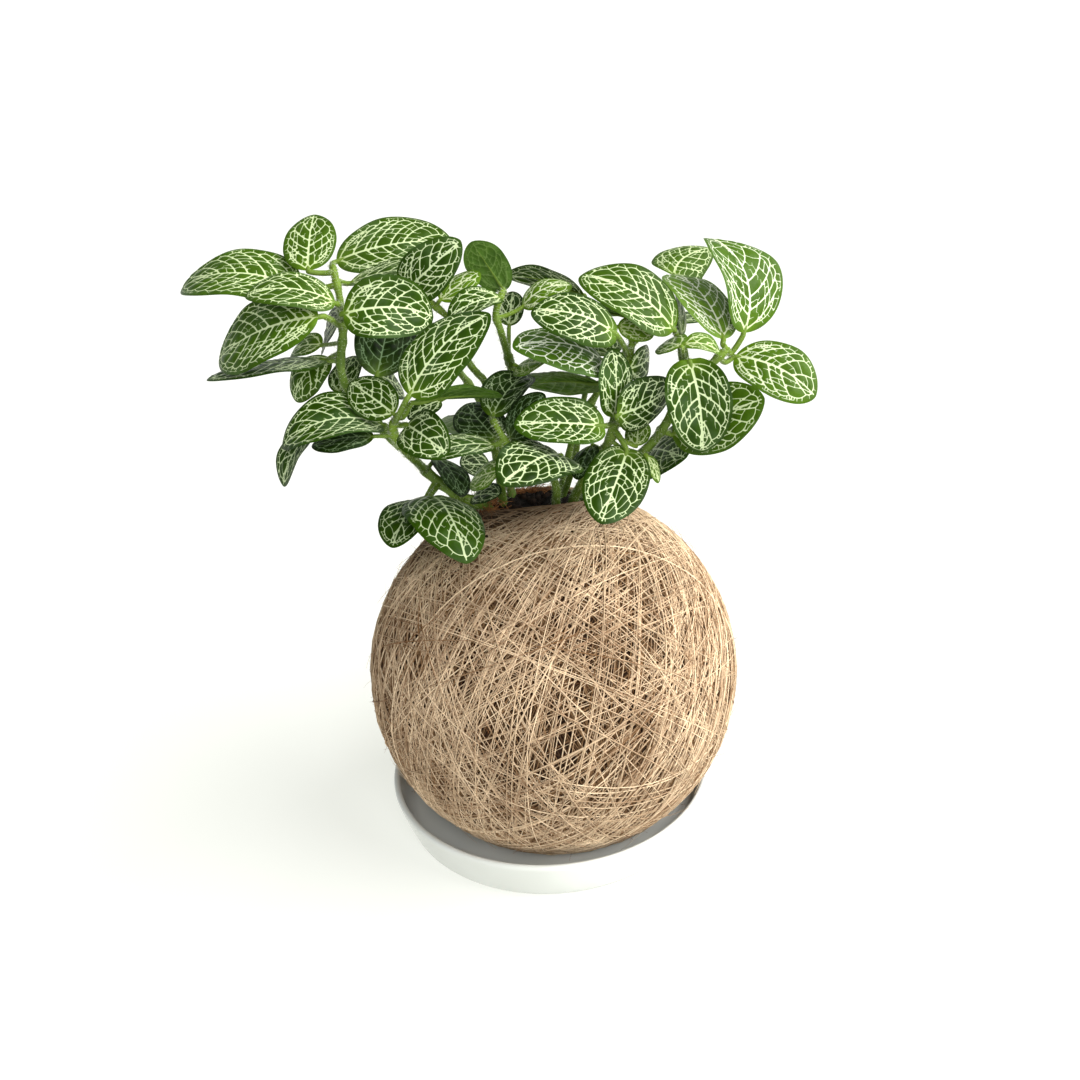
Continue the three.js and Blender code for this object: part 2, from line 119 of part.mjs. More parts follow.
  ["leaf_back_left_1","back_left",[-32.98,41.65,151.76],[0.0068,0.7937,-0.6082],[-0.0481,0.6078,0.7926],32.81,0.324,0.726,0.063,0.462,0.025,0,0.85,[[-32.98,41.65,151.76],[-32.98,41.32,151.86],[-33.26,39.91,152.61],[-33.22,39.57,152.68]],[-33.01,37.9,153.03]],
  ["leaf_back_right_2","back_right",[37.83,37.82,150.3],[-0.9159,0.3745,-0.1442],[0.0773,0.5172,0.8524],33.79,0.331,0.844,0.087,0.4,0.021,0,0.85,[[37.83,37.82,150.3],[38.05,37.67,150.24],[38.67,37.28,149.13],[38.8,37.18,148.92]],[39.67,36.59,147.55]],
  ["leaf_back_left_2","back_left",[-14.95,34.21,124.61],[-0.1969,0.7848,-0.5877],[-0.132,0.5727,0.809],31.42,0.346,0.698,-0.011,0.481,-0.018,0,0.85,[[-14.95,34.21,124.61],[-14.79,33.54,124.81],[-13.74,31.08,126.93],[-13.52,30.52,127.32]],[-12.98,29.18,128.25]],
  ["leaf_back_right_3","back_right",[27.81,37.9,127.92],[0.5385,0.6936,-0.4784],[0.1855,0.4563,0.8703],34.59,0.327,0.525,-0.071,0.425,-0.019,0,0.85,[[27.81,37.9,127.92],[27.32,37.23,128.12],[25.13,34.59,130.31],[24.75,34.06,130.88]],[24,33,132]],
  ["leaf_back_right_4","back_right",[42.63,41.74,147.28],[0.768,0.5642,-0.3031],[0.1734,0.2724,0.9464],29.83,0.322,0.954,-0.129,0.478,0.027,0,0.85,[[42.63,41.74,147.28],[42.14,41.34,147.17],[40.43,38.79,147.11],[40.22,38.19,147.23]],[39.67,36.59,147.55]],
  ["leaf_back_right_5","back_right",[27.71,40.95,138.07],[-0.6404,0.7465,-0.1806],[-0.0123,0.2251,0.9743],33.68,0.32,1.018,0.015,0.416,-0.028,0,0.85,[[27.71,40.95,138.07],[28.03,40.51,137.88],[28.33,37.74,137.8],[28.51,37.19,137.84]],[29.06,35.56,137.94]],
];

const SHOOTS = {
  shoot_left: ["left_low", "left_high"],
  shoot_middle: ["mid_left", "mid_top"],
  shoot_back_middle: ["centre_back"],
  shoot_centre: ["centre"],
  shoot_right: ["right", "right_far"],
  shoot_front: ["front"],
  shoot_back_left: ["back_left"],
  shoot_back_right: ["back_right"],
};
const ROOTED = ["left_low", "mid_left", "centre_back", "centre", "right", "front", "back_left", "back_right"];

// ---- small vector helpers ----
const add = (a, b) => [a[0] + b[0], a[1] + b[1], a[2] + b[2]];
const sub = (a, b) => [a[0] - b[0], a[1] - b[1], a[2] - b[2]];
const mul = (a, k) => [a[0] * k, a[1] * k, a[2] * k];
const dot = (a, b) => a[0] * b[0] + a[1] * b[1] + a[2] * b[2];
const cross = (a, b) => [a[1] * b[2] - a[2] * b[1], a[2] * b[0] - a[0] * b[2], a[0] * b[1] - a[1] * b[0]];
const unit = (a) => mul(a, 1 / Math.max(1e-9, Math.hypot(...a)));

function toManifold(pos, tri) {
  const m = new MMesh({ numProp: 3, vertProperties: new Float32Array(pos.flat()), triVerts: new Uint32Array(tri.flat()) });
  m.merge();
  const out = new Manifold(m);
  return out.volume() < 0 ? new Manifold(new MMesh({ numProp: 3, vertProperties: new Float32Array(pos.flat()), triVerts: new Uint32Array(tri.map((t) => [t[0], t[2], t[1]]).flat()) })) : out;
}

// A closed tube along a polyline, flat at both ends.
function tube(points, radii, sides) {
  const n = points.length, pos = [], tri = [];
  let t = unit(sub(points[1], points[0]));
  let u = unit(cross(t, Math.abs(t[2]) < 0.9 ? [0, 0, 1] : [1, 0, 0]));
  for (let i = 0; i < n; i++) {
    const a = points[Math.max(0, i - 1)], b = points[Math.min(n - 1, i + 1)];
    t = unit(sub(b, a));
    u = unit(sub(u, mul(t, dot(u, t))));
    const v = cross(t, u);
    for (let k = 0; k < sides; k++) {
      const w = (k / sides) * 2 * Math.PI;
      pos.push(add(points[i], add(mul(u, radii[i] * Math.cos(w)), mul(v, radii[i] * Math.sin(w)))));
    }
  }
  for (let i = 0; i + 1 < n; i++)
    for (let k = 0; k < sides; k++) {
      const a = i * sides + k, b = i * sides + ((k + 1) % sides);
      tri.push([a, b, b + sides], [a, b + sides, a + sides]);
    }
  const c0 = pos.push(points[0]) - 1, c1 = pos.push(points[n - 1]) - 1, l = (n - 1) * sides;
  for (let k = 0; k < sides; k++) {
    tri.push([c0, (k + 1) % sides, k], [c1, l + k, l + ((k + 1) % sides)]);
  }
  return toManifold(pos, tri);
}

// The main body of a solid, without any sliver cut off by a sharp bend.
function largest(man) {
  const bits = man.decompose();
  return bits.sort((p, q) => q.volume() - p.volume())[0];
}

function bezier(c, n) {
  const out = [];
  for (let i = 0; i <= n; i++) {
    const t = i / n, s = 1 - t;
    out.push(add(add(mul(c[0], s * s * s), mul(c[1], 3 * s * s * t)), add(mul(c[2], 3 * s * t * t), mul(c[3], t * t * t))));
  }
  return out;
}

// Half outline of a leaf, from the tip to the base, in lengths and half widths.
function outline(theta, c, lobe) {
  const ct = Math.cos(theta);
  if (ct >= 0) return [c + (1 - c) * ct, Math.pow(Math.max(0, 1 - ct * ct), 0.62)];
  const y = Math.sqrt(Math.max(0, 1 - Math.pow(-ct, 2.3)));
  let x = c + (c + lobe) * ct;
  if (ct < -0.5) {
    const s = Math.min(1, Math.max(0, 1 - y / 0.3));
    x += lobe * s * s * (3 - 2 * s);
  }
  return [x, y];
}

// A point of the arched, cupped and swept blade above the flat point (x, y).
function bladePoint(x, y, L, w, arch, cup, sweep) {
  const tt = Math.min(1, Math.max(0, x / L));
  const zc = cup * w * (y / w) * (y / w);
  const yy = y + sweep * L * 4 * tt * (1 - tt);
  let X = x, Z = 0, ph = 0;
  if (Math.abs(arch) > 1e-4) {
    const k = arch / L;
    ph = arch / 2 - k * x;
    X = (Math.sin(arch / 2) - Math.sin(ph)) / k;
    Z = (Math.cos(ph) - Math.cos(arch / 2)) / k;
  }
  return [X - Math.sin(ph) * zc, yy, Z + Math.cos(ph) * zc];
}

function leafSolid(row, fused) {
  const [, , B, a0, n0, L, r, arch, cup, c, sweep, lobe, pr, pc, S] = row;
  const a = unit(a0), n = unit(sub(n0, mul(a, dot(a, n0)))), b = cross(n, a), w = r * L;
  const at = (x, y, off) => {
    const p = bladePoint(x, y, L, w, arch, cup, sweep);
    const px = sub(bladePoint(x + 0.01, y, L, w, arch, cup, sweep), p);
    const py = sub(bladePoint(x, y + 0.01, L, w, arch, cup, sweep), p);
    const q = add(p, mul(unit(cross(px, py)), off));
    return add(B, add(add(mul(a, q[0]), mul(b, q[1])), mul(n, q[2])));
  };
  const pos = [], tri = [], h = LEAF_T / 2;
  const rows = L < YOUNG_L ? YOUNG_ROWS : LEAF_ROWS, cols = LEAF_COLS, per = rows * (cols + 1) + 2;
  for (const off of [h, -h]) {
    pos.push(at(L, 0, off));
    for (let i = 1; i <= rows; i++) {
      const th = (i / (rows + 1)) * Math.PI, [ox, oy] = outline(th, c, lobe);
      const m = Math.min(1, Math.max(0, (1 - i / (rows + 1)) * 1.04 - 0.02));
      for (let j = 0; j <= cols; j++) {
        const v = -1 + (2 * j) / cols;
        pos.push(at((m + Math.abs(v) * (ox - m)) * L, v * oy * w, off));
      }
    }
    pos.push(at(0, 0, off));
  }
  const id = (i, j, side) => side * per + 1 + (i - 1) * (cols + 1) + j;
  for (const side of [0, 1]) {
    const f = side ? (x, y, z) => tri.push([x, z, y]) : (x, y, z) => tri.push([x, y, z]);
    for (let j = 0; j < cols; j++) {
      f(side * per, id(1, j + 1, side), id(1, j, side));
      for (let i = 1; i < rows; i++) {
        f(id(i, j, side), id(i, j + 1, side), id(i + 1, j + 1, side));
        f(id(i, j, side), id(i + 1, j + 1, side), id(i + 1, j, side));
      }
      f(side * per + per - 1, id(rows, j, side), id(rows, j + 1, side));
    }
  }
  const loop = [0];
  for (let i = 1; i <= rows; i++) loop.push(id(i, cols, 0));
  loop.push(per - 1);
  for (let i = rows; i >= 1; i--) loop.push(id(i, 0, 0));
  for (let k = 0; k < loop.length; k++) {
    const p = loop[k], q = loop[(k + 1) % loop.length];
    tri.push([p, p + per, q + per], [p, q + per, q]);
  }
  const blade = toManifold(pos, tri);
  // petiole: starts inside the blade and ends at the stem
  const raw = bezier(pc, 5);
  if (fused) raw.push(S);
  const pts = [at(0.12 * L, 0, -0.1)];
  raw.forEach((p, i) => {
    const far = Math.hypot(...sub(p, pts[pts.length - 1])) > 1.2 * pr;
    if (i === raw.length - 1 && !far && pts.length > 2) pts.pop();
    if (far || i === raw.length - 1) pts.push(p);
  });
  const rad = pts.map((_, i) => (i === 0 ? pr * 0.6 : pr));
  return largest(blade.add(tube(pts, rad, PETIOLE_SIDES)));
}

// ---- stems, with their feet in the soil ----
function stemPoints(name) {
  const p = STEMS[name].p;
  return ROOTED.includes(name) ? [[p[0][0], p[0][1], STEM_FOOT_Z], ...p] : p;
}
function stemSolid(name, grow) {
  const p = stemPoints(name), n = p.length;
  const r = p.map((_, i) => STEMS[name].r * (1 - 0.22 * (i / (n - 1))) + grow);
  const end = add(p[n - 1], mul(unit(sub(p[n - 1], p[n - 2])), 0.8));
  return tube([...p, end], [...r, r[n - 1] * 0.55], STEM_SIDES);
}

const group = new THREE.Group();
group.name = "kokedama";

function geometryOf(man) {
  const m = man.getMesh();
  const g = new THREE.BufferGeometry();
  const np = m.numProp, nv = m.vertProperties.length / np, pos = new Float32Array(nv * 3);
  for (let i = 0; i < nv; i++) for (let k = 0; k < 3; k++) pos[3 * i + k] = m.vertProperties[np * i + k];
  g.setAttribute("position", new THREE.BufferAttribute(pos, 3));
  g.setIndex(new THREE.BufferAttribute(new Uint32Array(m.triVerts), 1));
  g.computeVertexNormals();
  return g;
}
function piece(name, man, color, rough) {
  const mesh = new THREE.Mesh(geometryOf(man), new THREE.MeshStandardMaterial({ color, roughness: rough, metalness: 0 }));
  mesh.name = name;
  group.add(mesh);
}

// ---- saucer: one turned profile ----
const profile = [
  [0, 0], [SAUCER_BASE_R, 0], [SAUCER_BASE_R + 1.2, 0.7], [49.5, 6], [51.2, 11.6], [SAUCER_RIM_R, 13.2], [51.2, 14.0], [50.5, SAUCER_H],
  [49.8, 13.9], [49.4, 12.9], [48.0, 7.2], [46.9, 4.6], [45.6, 3.4], [43.8, FLOOR_Z], [0, FLOOR_Z],
];
const SAUCER_SEGS = 48;
{
  const pos = [], tri = [], m = profile.length;
  const c0 = pos.push([0, 0, profile[0][1]]) - 1, c1 = pos.push([0, 0, profile[m - 1][1]]) - 1;
  const ring = (i, k) => 2 + (i - 1) * SAUCER_SEGS + (k % SAUCER_SEGS);
  for (let i = 1; i < m - 1; i++)
    for (let k = 0; k < SAUCER_SEGS; k++) {
      const w = (k / SAUCER_SEGS) * 2 * Math.PI;
      pos.push([profile[i][0] * Math.cos(w), profile[i][0] * Math.sin(w), profile[i][1]]);
    }
  for (let k = 0; k < SAUCER_SEGS; k++) {
    tri.push([c0, ring(1, k + 1), ring(1, k)], [c1, ring(m - 2, k), ring(m - 2, k + 1)]);
    for (let i = 1; i < m - 2; i++) tri.push([ring(i, k), ring(i, k + 1), ring(i + 1, k + 1)], [ring(i, k), ring(i + 1, k + 1), ring(i + 1, k)]);
  }
  piece("saucer", toManifold(pos, tri), 0xf2f2f0, 0.12);
}

// ---- ball: winding, coir and soil, all open at the mouth ----
const ballSphere = (r, zmin, segs) => Manifold.sphere(r, segs).translate(BALL_C).trimByPlane([0, 0, 1], zmin);
const mouth = (grow, z0, z1) => Manifold.cylinder(z1 - z0, 1, 1, 36).scale([MOUTH_RX + grow, MOUTH_RY + grow, 1]).translate([MOUTH_C[0], MOUTH_C[1], z0]);
const zBall = FLOOR_Z + GAP;
const rIn = BALL_R - WINDING_T;
const winding = ballSphere(BALL_R, zBall, 48).subtract(ballSphere(rIn, zBall + WINDING_T, 40)).subtract(mouth(0, 80, 120));
const rCoir = rIn - 0.5, rCoirIn = rCoir - COIR_T;
const coir = ballSphere(rCoir, zBall + WINDING_T + GAP, 36).subtract(ballSphere(rCoirIn, zBall + WINDING_T + GAP + 4.4, 28)).subtract(mouth(-0.4, 80, 120));
const rSoil = rCoirIn - 0.4;
let soil = ballSphere(rSoil, zBall + WINDING_T + 2 * GAP + 4.4, 28)
  .add(mouth(-0.9, 86, SOIL_TOP - 4).add(Manifold.sphere(1, 36).scale([MOUTH_RX - 0.9, MOUTH_RY - 0.9, 4]).translate([MOUTH_C[0], MOUTH_C[1], SOIL_TOP - 4])));
for (const s of ROOTED) soil = soil.subtract(tube([[STEMS[s].p[0][0], STEMS[s].p[0][1], STEM_FOOT_Z - GAP], ...STEMS[s].p.slice(0, 3)], [1, 1, 1, 1].map(() => STEMS[s].r + GAP), 10));
piece("thread_winding", winding, 0xbfa283, 0.9);
piece("coir_layer", coir, 0x6b4a30, 0.95);
piece("soil_core", soil, 0x2c1f17, 1.0);

// ---- shoots, each with its youngest leaves ----
for (const [name, parts] of Object.entries(SHOOTS)) {
  let man = null;
  for (const s of parts) {
    const t = stemSolid(s, 0);
    man = man ? man.add(t) : t;
  }
  for (const row of LEAVES) if (!row[0] && parts.includes(row[1])) man = man.add(leafSolid(row, true));
  piece(name, largest(man), 0x6f9a45, 0.6);
}

// ---- leaves ----
const GREENS = [0x2f5d1e, 0x38691f, 0x437a2a, 0x2a5420];
LEAVES.filter((r) => r[0]).forEach((row, i) => piece(row[0], leafSolid(row, false), GREENS[i % GREENS.length], 0.38));

export default group;
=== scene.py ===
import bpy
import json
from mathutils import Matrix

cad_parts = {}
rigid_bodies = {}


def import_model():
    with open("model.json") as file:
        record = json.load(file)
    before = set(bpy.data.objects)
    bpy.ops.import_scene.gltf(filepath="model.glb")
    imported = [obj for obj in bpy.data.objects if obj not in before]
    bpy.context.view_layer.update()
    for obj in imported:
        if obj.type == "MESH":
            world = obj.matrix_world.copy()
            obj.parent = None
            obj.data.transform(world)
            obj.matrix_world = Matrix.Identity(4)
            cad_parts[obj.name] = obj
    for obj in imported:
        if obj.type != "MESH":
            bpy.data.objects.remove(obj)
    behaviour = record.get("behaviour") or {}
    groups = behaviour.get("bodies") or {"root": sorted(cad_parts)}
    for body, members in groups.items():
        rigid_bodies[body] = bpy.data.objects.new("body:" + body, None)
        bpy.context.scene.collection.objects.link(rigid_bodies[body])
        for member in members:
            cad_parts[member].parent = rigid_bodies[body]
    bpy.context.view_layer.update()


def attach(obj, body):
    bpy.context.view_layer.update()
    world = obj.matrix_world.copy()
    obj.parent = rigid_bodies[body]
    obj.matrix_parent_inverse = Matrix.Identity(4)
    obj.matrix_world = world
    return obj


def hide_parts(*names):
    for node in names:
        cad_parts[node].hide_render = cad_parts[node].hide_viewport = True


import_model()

import json
import math

import bpy
import numpy as np
from mathutils import Matrix, Vector
from mathutils.geometry import delaunay_2d_cdt

MM = 0.001

# ---------------------------------------------------------------- sizes, in mm
BALL_R = 57.5
BALL_C = np.array([2.9, 0.0, 50.5])
BALL_FOOT = 3.3            # height of the ball's flat underside
WINDING_T = 1.9            # depth of the thread winding
THREAD_R = 0.17
MOUTH_C = np.array([1.0, 12.3])
MOUTH_R = np.array([18.5, 10.3])
SOIL_TOP = 104.2
SAUCER = [(0, 0), (46.5, 0), (47.7, 0.7), (49.5, 6), (51.2, 11.6), (51.5, 13.2), (51.2, 14.0), (50.5, 14.2), (49.8, 13.9), (49.4, 12.9),
          (48.0, 7.2), (46.9, 4.6), (45.6, 3.4), (43.8, 3.0), (0, 3.0)]

# stems: radius and centre line
STEMS = {
    "left_low": (1.7, [[-13.53, 9.7, 104.43], [-18.02, 4.49, 108.66], [-21.22, -0.76, 113.87], [-23.18, -3.94, 117.41], [-25.42, -3.4, 119.23], [-29.95, -1.47, 123.15], [-30.76, -2.72, 125.03], [-32.0, -8.65, 130.23], [-33.69, -13.06, 134.86], [-35.6, -18.74, 141.14], [-36.05, -20.59, 143.78], [-36.3, -20.23, 145.46], [-36.1, -21.01, 147.16], [-35.1, -19.74, 149.64]]),
    "left_high": (1.5, [[-35.03, -16.58, 138.83], [-40.31, -13.81, 143.96], [-44.56, -10.15, 148.54], [-48.61, -7.91, 153.23], [-49.71, -8.32, 157.44], [-49.88, -6.34, 161.64], [-48.62, -2.34, 168.86], [-48.89, 1.75, 176.25], [-50.19, 6.03, 183.98]]),
    "mid_left": (1.4, [[-8.92, 11.86, 104.66], [-9.13, 8.8, 112.76], [-9.41, 6.05, 120.18], [-9.95, 3.65, 128.24], [-10.62, 1.73, 136.34], [-11.14, 4.04, 142.17], [-10.74, 1.21, 147.78], [-11.36, 1.74, 149.77], [-12.38, 0.54, 151.53], [-13.83, -2.73, 155.13], [-15.05, -1.95, 157.38], [-15.95, 0.55, 162.1], [-16.84, 0.14, 165.07], [-19.67, 2.1, 168.84], [-26.13, 5.03, 174.17], [-29.17, 5.79, 175.57]]),
    "mid_top": (1.4, [[-10.9, 2.76, 139.01], [-8.57, 2.37, 142.12], [-4.84, 4.24, 146.46], [-3.37, 6.77, 149.17], [-3.29, 6.72, 150.73], [-3.99, 2.19, 157.21], [-5.01, -1.85, 164.15], [-5.3, -2.14, 165.7], [-6.15, 0.13, 170.02], [-3.78, 3.05, 175.27]]),
    "centre_back": (1.1, [[9.12, 13.7, 102.98], [11.43, 12.31, 109.96], [13.58, 10.12, 118.38], [15.12, 8.0, 126.92], [15.65, 7.83, 129.91], [16.96, 10.53, 135.6], [17.78, 11.9, 138.69], [18.29, 11.0, 141.61], [18.87, 8.43, 146.04], [20.2, 6.12, 154.45], [20.61, 5.05, 157.88], [21.13, 6.73, 161.74], [21.02, 9.9, 167.47]]),
    "centre": (1.6, [[12.3, 7.32, 105.37], [14.35, 2.88, 112.21], [16.33, -2.1, 118.88], [19.52, -5.7, 125.37], [20.52, -5.97, 126.93], [21.49, -5.65, 128.13], [21.93, -5.91, 128.89], [23.59, -11.73, 135.1], [24.43, -13.77, 139.66], [24.78, -13.81, 141.65], [25.93, -11.14, 145.43], [26.85, -9.88, 148.94], [29.8, -5.51, 156.18], [30.59, -3.37, 157.37], [31.05, -2.55, 160.08], [29.94, -0.89, 163.09]]),
    "right": (1.6, [[15.15, 11.7, 102.86], [17.02, 10.16, 105.44], [20.62, 5.54, 111.32], [24.16, 1.43, 116.47], [27.57, -3.5, 121.58], [31.75, -7.52, 126.89], [34.06, -10.04, 130.37], [35.98, -10.33, 132.72], [36.58, -10.79, 133.74], [37.93, -15.92, 138.71], [38.42, -16.71, 139.97], [39.51, -16.43, 141.71], [43.19, -12.88, 148.1], [44.82, -9.6, 154.01], [44.76, -7.37, 157.42], [44.62, -4.9, 158.16], [44.3, 2.54, 159.21], [44.23, 7.86, 160.36], [44.01, 9.66, 161.96], [43.81, 11.02, 163.59], [43.81, 15.1, 165.8], [43.81, 17.38, 167.64], [43.83, 18.37, 168.19]]),
    "right_far": (1.6, [[41.12, -15.1, 144.11], [44.77, -13.14, 147.58], [48.46, -9.91, 150.28], [54.96, -7.04, 155.42], [57.11, -6.33, 156.68]]),
    "front": (1.4, [[7.15, 5.54, 106.7], [7.54, 0.49, 112.85], [6.95, -2.88, 118.13], [5.47, -8.07, 123.63], [2.5, -12.86, 129.45], [-1.72, -17.09, 135.05], [-4.86, -21.2, 139.2], [-6.19, -20.77, 140.81], [-8.68, -18.34, 145.2]]),
    "back_left": (1.4, [[-6.0, 17.0, 103.0], [-7.25, 20.44, 110.44], [-9.0, 24.0, 118.0], [-11.2, 27.06, 124.1], [-13.95, 30.19, 130.26], [-17.12, 32.8, 135.72], [-22.26, 35.55, 141.97], [-28.14, 37.53, 148.28], [-34.0, 38.0, 154.0]]),
    "back_right": (1.4, [[9.0, 17.0, 103.0], [11.19, 21.0, 110.56], [14.0, 25.0, 118.0], [17.38, 28.18, 123.46], [21.38, 31.28, 128.73], [26.52, 34.4, 135.05], [31.57, 36.45, 140.6], [36.32, 37.1, 145.03], [43.0, 36.0, 150.0]]),
}
SHOOTS = {
    "shoot_left": ["left_low", "left_high"], "shoot_middle": ["mid_left", "mid_top"], "shoot_back_middle": ["centre_back"], "shoot_centre": ["centre"],
    "shoot_right": ["right", "right_far"], "shoot_front": ["front"], "shoot_back_left": ["back_left"], "shoot_back_right": ["back_right"],
}
ROOTED = ["left_low", "mid_left", "centre_back", "centre", "right", "front", "back_left", "back_right"]

